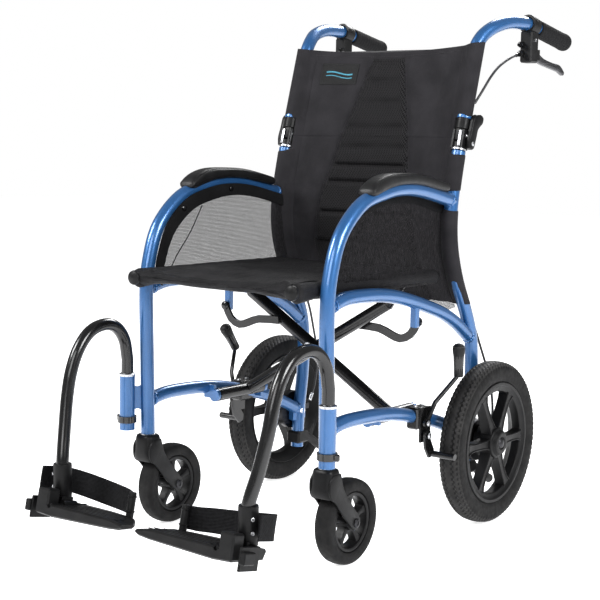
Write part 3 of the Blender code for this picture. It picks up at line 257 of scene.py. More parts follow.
def make_leather(name):
    paint = Paint(name, (0.007, 0.007, 0.0075), 0.42, Specular_IOR_Level=0.4)
    grain = paint.cells(330.0, feature="DISTANCE_TO_EDGE")
    paint.colour(paint.noise(30.0, 5.0), (0.006, 0.006, 0.0065), (0.012, 0.012, 0.013))
    paint.rough(paint.noise(90.0, 4.0), 0.36, 0.52)
    paint.bump(grain, 0.35, 0.0006)
    return paint.mat


def make_foam(name):
    paint = Paint(name, (0.013, 0.013, 0.014), 0.85, Specular_IOR_Level=0.2)
    pores = paint.cells(620.0)
    # Painted shade: the pore centres, which the bump sinks, are painted darker than the foam between them.
    paint.colour(pores, (0.005, 0.005, 0.006), (0.016, 0.016, 0.017), 0.1, 0.6)
    paint.bump(pores, 0.6, 0.0006)
    paint.bump(paint.noise(120.0, 4.0), 0.3, 0.0008)
    return paint.mat


BLUE = make_paint(
    "blue_metallic_paint", (0.016, 0.088, 0.25), (0.036, 0.155, 0.38), 0.34, 0.45, 2600.0, Coat_Weight=1.0,
    Coat_Roughness=0.14
)
BLACK = make_paint(
    "black_powder_coat", (0.0035, 0.0035, 0.0038), (0.0065, 0.0065, 0.007), 0.22, 0.0, 900.0,
    Coat_Weight=0.3, Coat_Roughness=0.08
)
PLASTIC = make_plastic(
    "moulded_black_plastic", (0.005, 0.005, 0.0055), (0.0095, 0.0095, 0.01), 0.4, 1400.0, 0.1,
    Specular_IOR_Level=0.24
)
GLOSS = make_plastic(
    "glossy_black_plastic", (0.004, 0.004, 0.0045), (0.007, 0.007, 0.0075), 0.2, 500.0, 0.08,
    Coat_Weight=0.5, Coat_Roughness=0.08
)
GREY_PLASTIC = make_plastic(
    "dark_grey_plastic", (0.0075, 0.0075, 0.008), (0.0135, 0.0135, 0.014), 0.42, 1300.0, 0.12,
    Specular_IOR_Level=0.26
)
RUBBER = make_plastic(
    "soft_black_rubber", (0.005, 0.005, 0.0055), (0.01, 0.01, 0.0105), 0.52, 700.0, 0.35,
    Specular_IOR_Level=0.35
)
TYRE = make_plastic(
    "tyre_rubber", (0.0085, 0.0085, 0.009), (0.019, 0.0185, 0.0185), 0.66, 520.0, 0.4,
    Specular_IOR_Level=0.18
)
# A lighter copy of the tyre rubber for the tread block tops: a painted highlight.
TREAD_HIGHLIGHT = make_plastic(
    "tread_painted_highlight", (0.016, 0.0155, 0.0155), (0.036, 0.035, 0.0345), 0.6, 520.0, 0.4,
    Specular_IOR_Level=0.25
)
SHEATH = make_plastic("cable_sheath", (0.03, 0.03, 0.032), (0.05, 0.05, 0.053), 0.45, 800.0)
STEEL = make_metal("bright_zinc_steel", (0.46, 0.47, 0.49), (0.74, 0.75, 0.77), 0.28, (300.0, 300.0, 40.0))
DARK_STEEL = make_metal("dark_steel", (0.035, 0.035, 0.038), (0.075, 0.075, 0.08), 0.4, (300.0, 40.0, 300.0))
LEVER_STEEL = make_metal("grey_lever_alloy", (0.1, 0.1, 0.105), (0.19, 0.19, 0.2), 0.4, (400.0, 30.0, 400.0))
NYLON = make_cloth(
    "charcoal_nylon", (0.015, 0.0142, 0.0165), (0.031, 0.0295, 0.0335), 0.0016, (1, 0, 0), (0, 1, 1), 0.62,
    0.4, Specular_IOR_Level=0.16, Sheen_Weight=0.04, Sheen_Roughness=0.4
)
SEAT_CLOTH = make_cloth(
    "black_nylon_seat", (0.0065, 0.0063, 0.0072), (0.015, 0.0145, 0.0165), 0.0016, (1, 0, 0), (0, 1, 1),
    0.58, 0.4, Specular_IOR_Level=0.22, Sheen_Weight=0.02, Sheen_Roughness=0.4
)
NET = make_net(
    "side_net", (0.006, 0.006, 0.0065), (0.036, 0.034, 0.037), 0.0056, 0.55, Specular_IOR_Level=0.12
)
SPACER = make_spacer("spacer_mesh")
BINDING = make_cloth(
    "black_binding", (0.006, 0.006, 0.0065), (0.014, 0.014, 0.015), 0.0013, (1, 1, 0), (0, 0, 1), 0.8,
    Specular_IOR_Level=0.15
)
WEBBING = make_webbing("ribbed_webbing", (0, -0.21, 0.98))
THREAD = make_cloth(
    "stitch_thread", (0.03, 0.03, 0.032), (0.06, 0.06, 0.064), 0.0007, (1, 1, 1), (1, -1, 1), 0.7
)
LABEL = make_cloth(
    "label_weave", (0.0035, 0.0035, 0.004), (0.007, 0.007, 0.0075), 0.0008, (1, 0, 0), (0, 1, 1), 0.6
)
LABEL_BLUE = make_cloth(
    "label_thread_blue", (0.045, 0.24, 0.34), (0.11, 0.4, 0.52), 0.0008, (1, 0, 0), (0, 1, 1), 0.6
)
PAD = make_leather("armrest_skin")
FOAM = make_foam("grip_foam")


# ---------------------------------------------------------------- mesh building
def smooth_path(points, steps=6):
    """Points along a Catmull-Rom curve through the given ones."""
    points = [Vector(p) for p in points]
    ends = [points[0] * 2 - points[1], *points, points[-1] * 2 - points[-2]]
    path = []
    for before, start, stop, after in zip(ends, ends[1:], ends[2:], ends[3:]):
        for step in range(steps):
            t = step / steps
            path.append(
                0.5
                * (
                    2 * start + (stop - before) * t + (2 * before - 5 * start + 4 * stop - after) * t**2
                    + (3 * start - before - 3 * stop + after) * t**3
                )
            )
    return [*path, points[-1]]


def on_plane(x, points):
    return [(x, y, z) for y, z in points]


def sided(vector, s):
    return Vector((vector[0] * s, vector[1], vector[2]))


class Piece:
    """A mesh under construction. Its parts share one object, and each has a material."""

    def __init__(self, name):
        self.name = name
        self.bm = bmesh.new()
        self.mats = []
        self.nodes = []

    def paint(self, faces, material):
        if material not in self.mats:
            self.mats.append(material)
        for face in faces:
            face.material_index = self.mats.index(material)

    def grid(self, rows, material, wrap=False, caps=False, wrap_rows=False):
        """Quads over rows of points. wrap joins each row's ends, and caps closes the first and last row."""
        verts = [[self.bm.verts.new(p) for p in row] for row in rows]
        faces = []
        pairs = list(zip(verts, verts[1:])) + ([(verts[-1], verts[0])] if wrap_rows else [])
        for a, b in pairs:
            n = len(a)
            for i in range(n if wrap else n - 1):
                j = (i + 1) % n
                faces.append(self.bm.faces.new((a[i], a[j], b[j], b[i])))
        if caps:
            faces.append(self.bm.faces.new(verts[0][::-1]))
            faces.append(self.bm.faces.new(verts[-1]))
        self.paint(faces, material)
        return verts

    def tube(self, path, radius, material, sides=24):
        """A round bar along a path. radius is a number or one per point."""
        path = [Vector(p) for p in path]
        radii = radius if isinstance(radius, list) else [radius] * len(path)
        tangent = (path[1] - path[0]).normalized()
        up = Vector((1, 0, 0)) if abs(tangent.x) < 0.9 else Vector((0, 0, 1))
        rows = []
        for i, point in enumerate(path):
            tangent = (path[min(i + 1, len(path) - 1)] - path[max(i - 1, 0)]).normalized()
            side = (up - tangent * up.dot(tangent)).normalized()
            other = tangent.cross(side)
            up = side
            row = []
            for k in range(sides):
                a = math.tau * k / sides
                row.append(point + (side * math.cos(a) + other * math.sin(a)) * radii[i])
            rows.append(row)
        return self.grid(rows, material, wrap=True, caps=True)

    def lathe(self, profile, centre, direction, material, sides=48, closed=False):
        """Turns (radius, height) points about an axis. closed joins the last to the first, as in a ring."""
        centre = Vector(centre)
        turn = Vector(direction).normalized().to_track_quat("Z", "Y").to_matrix()
        rows = []
        for radius, height in profile:
            rows.append(
                [
                    centre
                    + turn @ Vector(
                        (
                            radius * math.cos(math.tau * k / sides),
                            radius * math.sin(math.tau * k / sides), height
                        )
                    )
                    for k in range(sides)
                ]
            )
        return self.grid(rows, material, wrap=True, caps=not closed, wrap_rows=closed)

    def box(self, low, high, material, bevel=0.0, matrix=None, segments=2):
        low, high = Vector(low), Vector(high)
        made = bmesh.ops.create_cube(self.bm, size=1.0)["verts"]
        for v in made:
            v.co = Vector(a + (b - a) * (c + 0.5) for a, b, c in zip(low, high, v.co))
        faces = list({f for v in made for f in v.link_faces})
        if bevel:
            edges = list({e for v in made for e in v.link_edges})
            out = bmesh.ops.bevel(
                self.bm, geom=edges + made, offset=bevel, segments=segments, profile=0.5, affect="EDGES"
            )
            made = list({v for f in out["faces"] for v in f.verts} | {v for v in made if v.is_valid})
            faces = list({f for v in made for f in v.link_faces})
        if matrix:
            for v in made:
                v.co = matrix @ v.co
        self.paint(faces, material)

    def slab(self, outline, low, high, material, edge=0.0):
        """An outline of (y, z) made solid between two values of x, with rounded rims."""
        points = [Vector(p) for p in outline]
        area = sum(a.x * b.y - b.x * a.y for a, b in zip(points, points[1:] + points[:1]))
        if area < 0:
            points.reverse()
        n = len(points)
        normals = []
        for i in range(n):
            along = (points[(i + 1) % n] - points[i - 1]).normalized()
            normals.append(Vector((along.y, -along.x)))
        levels = [(low, edge), (low, edge * 0.35), (low, 0), (high, 0), (high, edge * 0.35), (high, edge)]
        shifts = [0, edge * 0.35, edge, -edge, -edge * 0.35, 0]
        if not edge:
            levels, shifts = [(low, 0), (high, 0)], [0, 0]
        rows = []
        for (level, inset), shift in zip(levels, shifts):
            row = []
            for p, out in zip(points, normals):
                q = p - out * inset
                h = level + shift
                row.append((h, q.x, q.y))
            rows.append(row)
        self.grid(rows, material, wrap=True, caps=True)

    def carry(self, node, material, inset=0.0):
        """Brings in a CAD node's own mesh, drawn in by inset, with its flat areas joined into faces."""
        before = set(self.bm.faces)
        temporary = bmesh.new()
        temporary.from_mesh(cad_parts[node].data)
        bmesh.ops.remove_doubles(temporary, verts=temporary.verts, dist=0.00002)
        bmesh.ops.dissolve_limit(
            temporary, angle_limit=math.radians(0.6), verts=temporary.verts, edges=temporary.edges
        )
        if inset:
            temporary.normal_update()
            for v in temporary.verts:
                v.co -= v.normal * inset
        mesh = bpy.data.meshes.new("carried")
        temporary.to_mesh(mesh)
        temporary.free()
        mesh.materials.clear()
        self.bm.from_mesh(mesh)
        bpy.data.meshes.remove(mesh)
        self.paint([f for f in self.bm.faces if f not in before], material)
        self.nodes.append(node)
        return self

    def place(self, matrix):
        self.bm.transform(matrix)
        return self

    def done(self, body, slot, *nodes, angle=38.0, bevel=0.0, subdivide=0, normals=True):
        """Makes the object, shades it smooth between sharp rims, and hangs it on its body."""
        bm = self.bm
        if normals:
            bmesh.ops.recalc_face_normals(bm, faces=bm.faces)
        for face in bm.faces:
            face.smooth = True
        for edge in bm.edges:
            edge.smooth = edge.is_boundary or edge.calc_face_angle(0.0) < math.radians(angle)
        mesh = bpy.data.meshes.new(self.name)
        bm.to_mesh(mesh)
        bm.free()
        obj = bpy.data.objects.new(self.name, mesh)
        bpy.context.scene.collection.objects.link(obj)
        for material in self.mats:
            mesh.materials.append(material)
        if bevel:
            rounding = obj.modifiers.new("rims", "BEVEL")
            rounding.width = bevel
            rounding.segments = 2
            rounding.limit_method = "ANGLE"
            rounding.angle_limit = math.radians(42)
            rounding.harden_normals = False
        if subdivide:
            smoother = obj.modifiers.new("smooth", "SUBSURF")
            smoother.levels = smoother.render_levels = subdivide
        if body:
            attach(obj, body)
        nodes = [*self.nodes, *nodes]
        if nodes:
            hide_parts(*nodes)
        return obj


# ---------------------------------------------------------------- side frames
def post_points(s):
    return on_plane(
        FRAME_X * s,
        [
            (0.203, 0.09), (0.206, 0.156), (0.216, 0.23), (0.219, 0.292), (0.212, 0.352), (0.19, 0.402),
            (0.15, 0.468), (0.127, 0.528), (0.121, 0.582), (0.128, 0.64), (0.1437, 0.7095)
        ]
    )


ARCH = [
    (-0.259, 0.18), (-0.263, 0.33), (-0.266, 0.44), (-0.2585, 0.503), (-0.233, 0.566), (-0.175, 0.616),
    (-0.108, 0.635), (-0.05, 0.642), (0.018, 0.638), (0.124, 0.618)
]
SEAT_ARCH = [(-0.262, 0.45), (-0.199, 0.461), (-0.073, 0.454), (0.066, 0.42), (0.142, 0.391), (0.206, 0.352)]
LOWER_ARCH = [(-0.26, 0.242), (-0.196, 0.25), (-0.073, 0.243), (0.035, 0.22), (0.114, 0.197), (0.205, 0.157)]


def weld(piece, centre, direction, radius, material, thick=0.0022):
    """An uneven bead of weld around the end of a tube."""
    centre, direction = Vector(centre), Vector(direction).normalized()
    side = direction.orthogonal().normalized()
    other = direction.cross(side)
    rows = []
    for k in range(72):
        a = math.tau * k / 72
        out = side * math.cos(a) + other * math.sin(a)
        r = thick * (1 + 0.16 * math.sin(a * 17))
        rows.append(
            [centre + out * (radius + r * math.cos(b) * 0.8) + direction * r * math.sin(b) * 1.5
             for b in (math.tau * j / 8 for j in range(8))]
        )
    piece.grid(rows, material, wrap=True, wrap_rows=True)


def side_frames(side, s):
    x = FRAME_X * s
    piece = Piece(f"frame_tubes_{side}")
    piece.carry(f"side_frame_{side}", BLUE, 0.0005)
    piece.tube(smooth_path(on_plane(x, ARCH)), TUBE_R, BLUE, 32)
    post = smooth_path(post_points(s))
    piece.tube([Vector((x, 0.2022, 0.078)), *post], TUBE_R, BLUE, 32)
    piece.tube(smooth_path(on_plane(x, SEAT_ARCH))[1:-1], TUBE_R - 0.0005, BLUE, 32)
    piece.tube(smooth_path(on_plane(x, LOWER_ARCH))[1:-1], TUBE_R - 0.0005, BLUE, 32)
    piece.tube([(0.2275 * s, -0.29, 0.1885), (0.2275 * s, -0.29, 0.2885)], 0.0143, BLUE, 32)
    piece.done(f"frame_{side}", "blue_paint")

    beads = Piece(f"weld_beads_{side}")
    weld(beads, (x, 0.1125, 0.62), (0, 0.98, -0.19), TUBE_R - 0.0003, BLUE)
    weld(beads, (x, -0.25, 0.453), (0, 1, 0.1), TUBE_R - 0.0008, BLUE)
    weld(beads, (x, 0.203, 0.355), (0, 0.86, -0.5), TUBE_R - 0.0008, BLUE)
    weld(beads, (x, -0.247, 0.244), (0, 1, 0.05), TUBE_R - 0.0008, BLUE)
    weld(beads, (x, 0.193, 0.1635), (0, 0.9, -0.42), TUBE_R - 0.0008, BLUE)
    beads.done(f"frame_{side}", "blue_paint")

    trim = Piece(f"frame_trim_{side}")
    trim.lathe(
        [(0.0112, 0.288), (0.015, 0.2885), (0.0152, 0.2925), (0.0118, 0.2945)], (0.2275 * s, -0.29, 0),
        (0, 0, 1), STEEL, 40
    )
    trim.lathe(
        [(0.006, 0.1765), (0.014, 0.1768), (0.0143, 0.179), (0.0126, 0.1802)], (x, -0.259, 0), (0, 0, 1),
        STEEL, 40
    )
    for y, z, out in ((-0.26, 0.212, s), (0.2045, 0.124, s), (0.2045, 0.1, s), (0.2045, 0.1, -s)):
        trim.lathe(
            [(0.0042, 0.0115), (0.0042, 0.0139), (0.0026, 0.0148), (0.0001, 0.015)], (x, y, z), (out, 0, 0),
            GLOSS, 20
        )
    for y in (-0.2745, -0.266):
        trim.lathe(
            [(0.0024, 0.0), (0.0024, 0.0042), (0.0001, 0.005)], (0.2165 * s, y, 0.247), (s, -0.55, 0),
            STEEL, 14
        )
    trim.done(f"frame_{side}", "black_plastic")

    axle = Piece(f"axle_nuts_{side}")
    axle.lathe(
        [(0.0095, 0.0), (0.0095, 0.004), (0.007, 0.006), (0.0001, 0.0062)], (0.1975 * s, *WHEEL_AXLE_YZ),
        (-s, 0, 0), STEEL, 6
    )
    axle.done(f"frame_{side}", "bright_steel")


# ---------------------------------------------------------------- wheels
def wheel_tyre(name, centre, radius, width, rim_radius, blocks, body, slot, node):
    """A tyre whose tread is cut into the mesh: rows of blocks, or one groove where blocks is 0."""
    piece = Piece(name)
    around = blocks * 4 if blocks else 128
    half = width / 2
    steps = 44
    rows = []
    for k in range(around):
        a = math.tau * k / around
        row = []
        for j in range(steps):
            b = math.tau * j / steps
            across = half * math.copysign(abs(math.sin(b)) ** 0.75, math.sin(b))
            crown = math.cos(b)
            mid = (radius + rim_radius) / 2
            r = mid + (radius - mid) * math.copysign(abs(crown) ** 0.62, crown)
            if crown < 0:
                r = mid + (mid - rim_radius) * max(crown * 1.6, -1.0)
            if crown > 0.25:
                if blocks:
                    band = abs(across) / half
                    lane = int(band * 4.2 + 0.5)
                    slit = abs(band * 4.2 + 0.5 - lane - 0.5) > 0.36
                    phase = (k + 2 * (lane % 2)) % 4
                    if slit or phase == 0:
                        r -= 0.0024
                else:
                    for groove in (0.0, 0.42, -0.42):
                        r -= 0.0009 * math.exp(-(((across / half - groove) / 0.07) ** 2))
            row.append(Vector((centre.x + across, centre.y + r * math.cos(a), centre.z + r * math.sin(a))))
        rows.append(row)
    piece.grid(rows, TYRE, wrap=True, wrap_rows=True)
    # The tops of the tread blocks take the lighter rubber, a painted highlight, and the grooves keep the
    # darker one.
    if blocks:
        highlighted_block_tops = []
        for face in piece.bm.faces:
            c = face.calc_center_median() - centre
            top = abs(face.normal.x) < 0.8 and math.hypot(c.y, c.z) > mid + (radius - mid) * max(
                1 - (abs(c.x) / half) ** 2.6, 0
            ) ** 0.36 - 0.0012
            if top and abs(c.x) < half * 0.93:
                highlighted_block_tops.append(face)
        piece.paint(highlighted_block_tops, TREAD_HIGHLIGHT)
    piece.done(body, slot, node, angle=55)


def ring(piece, centre, profile, material, sides=96):
    """A closed ring turned about the wheel's axis, from (radius, x) points."""
    rows = []
    for k in range(sides):
        a = math.tau * k / sides
        rows.append(
            [
                Vector((centre.x + x, centre.y + r * math.cos(a), centre.z + r * math.sin(a))) for r,
                x in profile
            ]
        )
    piece.grid(rows, material, wrap=True, wrap_rows=True)


def rear_wheels(side, s):
    centre = sided(REAR_AXLE, s)
    body = f"rear_wheel_{side}"
    wheel_tyre(
        f"rear_tread_{side}", centre, REAR_R, 0.045, 0.1178, 92, body, "tyre_rubber", f"rear_tyre_{side}"
    )
    rim = Piece(f"rear_spokes_{side}")
    ring(
        rim, centre,
        [(0.1172, s * x) for x in (-0.019, 0.019)]
        + [
            (r, s * x) for r,
            x in ((0.1155, 0.0202), (0.1105, 0.02), (0.1085, 0.018), (0.103, 0.0165), (0.099, 0.015))
        ]
        + [
            (r, s * x) for r,
            x in ((0.0976, 0.007), (0.0992, -0.002), (0.1075, -0.01), (0.114, -0.019), (0.116, -0.0202))
        ],
        PLASTIC, 120
    )
    for turn in range(6):
        angle = math.tau * turn / 6 + SPOKE_TURN
        matrix = Matrix.Translation(centre) @ Matrix.Rotation(angle - math.pi / 2, 4, "X")
        # Each spoke is a bar with a shallow channel in its face, and flares at both ends.
        stations = [(0.019, 0.0135, 0.019), (0.032, 0.0096, 0.0185), (0.05, 0.0076, 0.017),
                    (0.075, 0.0072, 0.016), (0.09, 0.008, 0.0165), (0.101, 0.0112, 0.0175)]
        rows = []
        for r, half, deep in stations:
            lip = 0.0026
            section = [
                (-half, -deep * 0.25), (half, -deep * 0.25), (half + 0.0004, deep),
                (half - lip + 0.0006, deep + 0.0008), (half - lip, deep - 0.0012),
                (-half + lip, deep - 0.0012), (-half + lip - 0.0006, deep + 0.0008), (-half - 0.0004, deep)
            ]
            rows.append([matrix @ Vector((s * out, across, r)) for across, out in section])
        rim.grid(rows, PLASTIC, wrap=True, caps=True)
    rim.lathe(
        [
            (0.0086, -0.0185), (0.0285, -0.0185), (0.0295, -0.017), (0.0295, 0.0195), (0.0287, 0.0215),
            (0.025, 0.0228), (0.0228, 0.0262), (0.0212, 0.029), (0.0185, 0.03), (0.012, 0.0292),
            (0.0112, 0.0268), (0.0086, 0.0262)
        ],
        centre, (s, 0, 0), PLASTIC, 64, closed=True
    )
    for turn in range(6):
        angle = math.tau * (turn + 0.5) / 6 + SPOKE_TURN
        spot = centre + Vector((0, math.cos(angle), math.sin(angle))) * 0.0205
        rim.lathe([(0.0014, 0.02), (0.0014, 0.0285), (0.0001, 0.0288)], spot, (s, 0, 0), PLASTIC, 10)
    rim.lathe(
        [
            (0.0076, 0.02), (0.0102, 0.027), (0.0102, 0.0283), (0.009, 0.0298), (0.006, 0.0312),
            (0.0001, 0.032)
        ],
        centre, (s, 0, 0), DARK_STEEL, 40
    )
    rim.done(body, "black_plastic", f"rear_rim_{side}", angle=30, bevel=0.0007)


def casters(side, s):
    centre = sided(CASTER_AXLE, s)
    body = f"caster_wheel_{side}"
    wheel_tyre(
        f"caster_tread_{side}", centre, CASTER_R, 0.033, 0.0532, 0, body, "tyre_rubber",
        f"caster_tyre_{side}"
    )
    rim = Piece(f"caster_spokes_{side}")
    ring(
        rim, centre,
        [
            (0.0526, -0.0115), (0.0526, 0.0115), (0.0512, 0.0128), (0.048, 0.0128), (0.0455, 0.0118),
            (0.0438, 0.0), (0.0455, -0.0118), (0.048, -0.0128), (0.0512, -0.0128)
        ],
        PLASTIC, 96
    )
    for turn in range(5):
        angle = math.tau * (turn + 0.25) / 5
        matrix = Matrix.Translation(centre) @ Matrix.Rotation(angle - math.pi / 2, 4, "X")
        rows = []
        for r, half, deep in (
            (0.012, 0.007, 0.0088), (0.02, 0.0052, 0.0082), (0.032, 0.0046, 0.0076), (0.04, 0.0056, 0.008),
            (0.045, 0.008, 0.0088)
        ):
            rows.append(
                [matrix @ Vector((out, across, r)) for across, out in (
                    (-half, -deep), (-half * 0.5, -deep - 0.001), (half * 0.5, -deep - 0.001), (half, -deep),
                    (half, deep), (half * 0.5, deep + 0.001), (-half * 0.5, deep + 0.001), (-half, deep))]
            )
        rim.grid(rows, PLASTIC, wrap=True, caps=True)
    rim.lathe(
        [
            (0.0058, -0.015), (0.014, -0.015), (0.015, -0.014), (0.015, 0.014), (0.014, 0.015),
            (0.0058, 0.015)
        ],
        centre, (1, 0, 0), PLASTIC, 48, closed=True
    )
    rim.done(body, "black_plastic", f"caster_rim_{side}", angle=30, bevel=0.0006)

    fork = Piece(f"caster_fork_body_{side}")
    middle = FRAME_X * s
    rings = []
    for z, half, front, rear in (
        (0.1788, 0.012, -0.269, -0.249), (0.1785, 0.016, -0.2725, -0.2455),
        (0.1765, 0.0192, -0.2755, -0.2425), (0.171, 0.0208, -0.277, -0.2408), (0.16, 0.0214, -0.278, -0.24),
        (0.15, 0.0217, -0.2786, -0.2398), (0.1465, 0.0217, -0.2787, -0.241),
        (0.144, 0.0217, -0.2787, -0.249), (0.138, 0.0215, -0.278, -0.258), (0.131, 0.021, -0.2755, -0.2625),
        (0.1285, 0.02, -0.2735, -0.265),
    ):
        ring_points = []
        for k in range(40):
            a = math.tau * k / 40
            across = math.copysign(abs(math.cos(a)) ** 0.62, math.cos(a)) * half
            along = math.copysign(abs(math.sin(a)) ** 0.62, math.sin(a)) * (rear - front) / 2
            ring_points.append((middle + across, (front + rear) / 2 + along, z))
        rings.append(ring_points)
    fork.grid(rings, PLASTIC, wrap=True, caps=True)
    outline = [
        (-0.266, 0.17), (-0.2745, 0.16), (-0.2765, 0.148), (-0.275, 0.136), (-0.269, 0.127),
        (-0.26, 0.1215), (-0.235, 0.0935), (-0.2085, 0.0672), (-0.202, 0.0632), (-0.193, 0.0634),
        (-0.1865, 0.07), (-0.1855, 0.079), (-0.19, 0.0872), (-0.218, 0.118), (-0.235, 0.14),
        (-0.241, 0.156), (-0.246, 0.17)
    ]
    flat = [tuple(q[1:]) for q in smooth_path([(0, *q) for q in outline], 3)]
    for out in (-1, 1):
        low, high = sorted((middle + out * 0.0178, middle + out * 0.0222))
        fork.slab(flat, low, high, PLASTIC, edge=0.0012)
        spot = centre + Vector((out * 0.0222, 0, 0))
        fork.lathe(
            [
                (0.008, 0.0), (0.008, 0.0014), (0.007, 0.0022), (0.004, 0.0026), (0.0036, 0.0014),
                (0.0001, 0.0012)
            ],
            spot, (out, 0, 0), DARK_STEEL, 32
        )
    fork.done(f"caster_{side}", "black_plastic", f"caster_fork_{side}", angle=50)


# ---------------------------------------------------------------- arms, handles, hinges
def armrests(side, s):
    """A soft pad over the arch: crowned on top, hollow underneath, with a moulded seam."""
    top = [
        (-0.162, 0.6375), (-0.159, 0.644), (-0.148, 0.654), (-0.132, 0.6618), (-0.112, 0.6672),
        (-0.087, 0.67), (-0.04, 0.6702), (0.0, 0.6682), (0.04, 0.662), (0.085, 0.6528), (0.096, 0.6485)
    ]
    under = [
        (-0.1625, 0.633), (-0.156, 0.6308), (-0.144, 0.6305), (-0.13, 0.635), (-0.108, 0.641),
        (-0.087, 0.6455), (-0.05, 0.649), (0.0, 0.647), (0.04, 0.641), (0.088, 0.635), (0.0965, 0.644)
    ]
    top, under = smooth_path([(0, *p) for p in top], 5), smooth_path([(0, *p) for p in under], 5)
    count = len(top)
    rows = []
    for i, (high, low) in enumerate(zip(top, under)):
        share = i / (count - 1)
        ends = min(share, 1 - share)
        half = 0.0178 * min(1.0, 0.45 + (1 - (1 - min(ends / 0.14, 1)) ** 2) * 0.55)
        row = []
        for k in range(36):
            a = math.tau * k / 36
            across = math.copysign(abs(math.cos(a)) ** 0.6, math.cos(a)) * half
            rise = math.copysign(abs(math.sin(a)) ** 0.75, math.sin(a))
            middle, reach = (high + low) / 2, (high - low) / 2
            point = middle + reach * rise
            # The seam runs from the nose up over the side and back along the edge.
            seam = math.sin(a) - (0.1 + 0.62 * min(share / 0.35, 1.0) ** 0.8)
            pinch = 0.0008 * math.exp(-((seam / 0.07) ** 2)) if math.sin(a) > -0.2 else 0.0
            across -= math.copysign(pinch, across)
            row.append(Vector((FRAME_X * s + across, point.y, point.z - pinch * 0.5)))
        rows.append(row)
    piece = Piece(f"armrest_cushion_{side}")
    piece.grid(rows, PAD, wrap=True, caps=True)
    pad = piece.done(f"frame_{side}", "arm_pad", f"armrest_pad_{side}", angle=60, subdivide=1)
    seam = Piece(f"armrest_seam_{side}")
    for out in (-1, 1):
        line = []
        for i, (high, low) in enumerate(zip(top, under)):
            share = i / (count - 1)
            if 0.04 < share < 0.93:
                rise = 0.1 + 0.62 * min(share / 0.35, 1.0) ** 0.8
                across = abs(math.cos(math.asin(min(rise, 0.999)))) ** 0.6
                ends = min(share, 1 - share)
                half = 0.0178 * min(1.0, 0.45 + (1 - (1 - min(ends / 0.14, 1)) ** 2) * 0.55)
                middle, reach = (high + low) / 2, (high - low) / 2
                spot = middle + reach * (rise ** 0.75)
                line.append(Vector((FRAME_X * s + out * (across * half - 0.0006), spot.y, spot.z)))
        seam.tube(line, 0.0006, GREY_PLASTIC, 8)
    seam.done(f"frame_{side}", "arm_pad", angle=60)


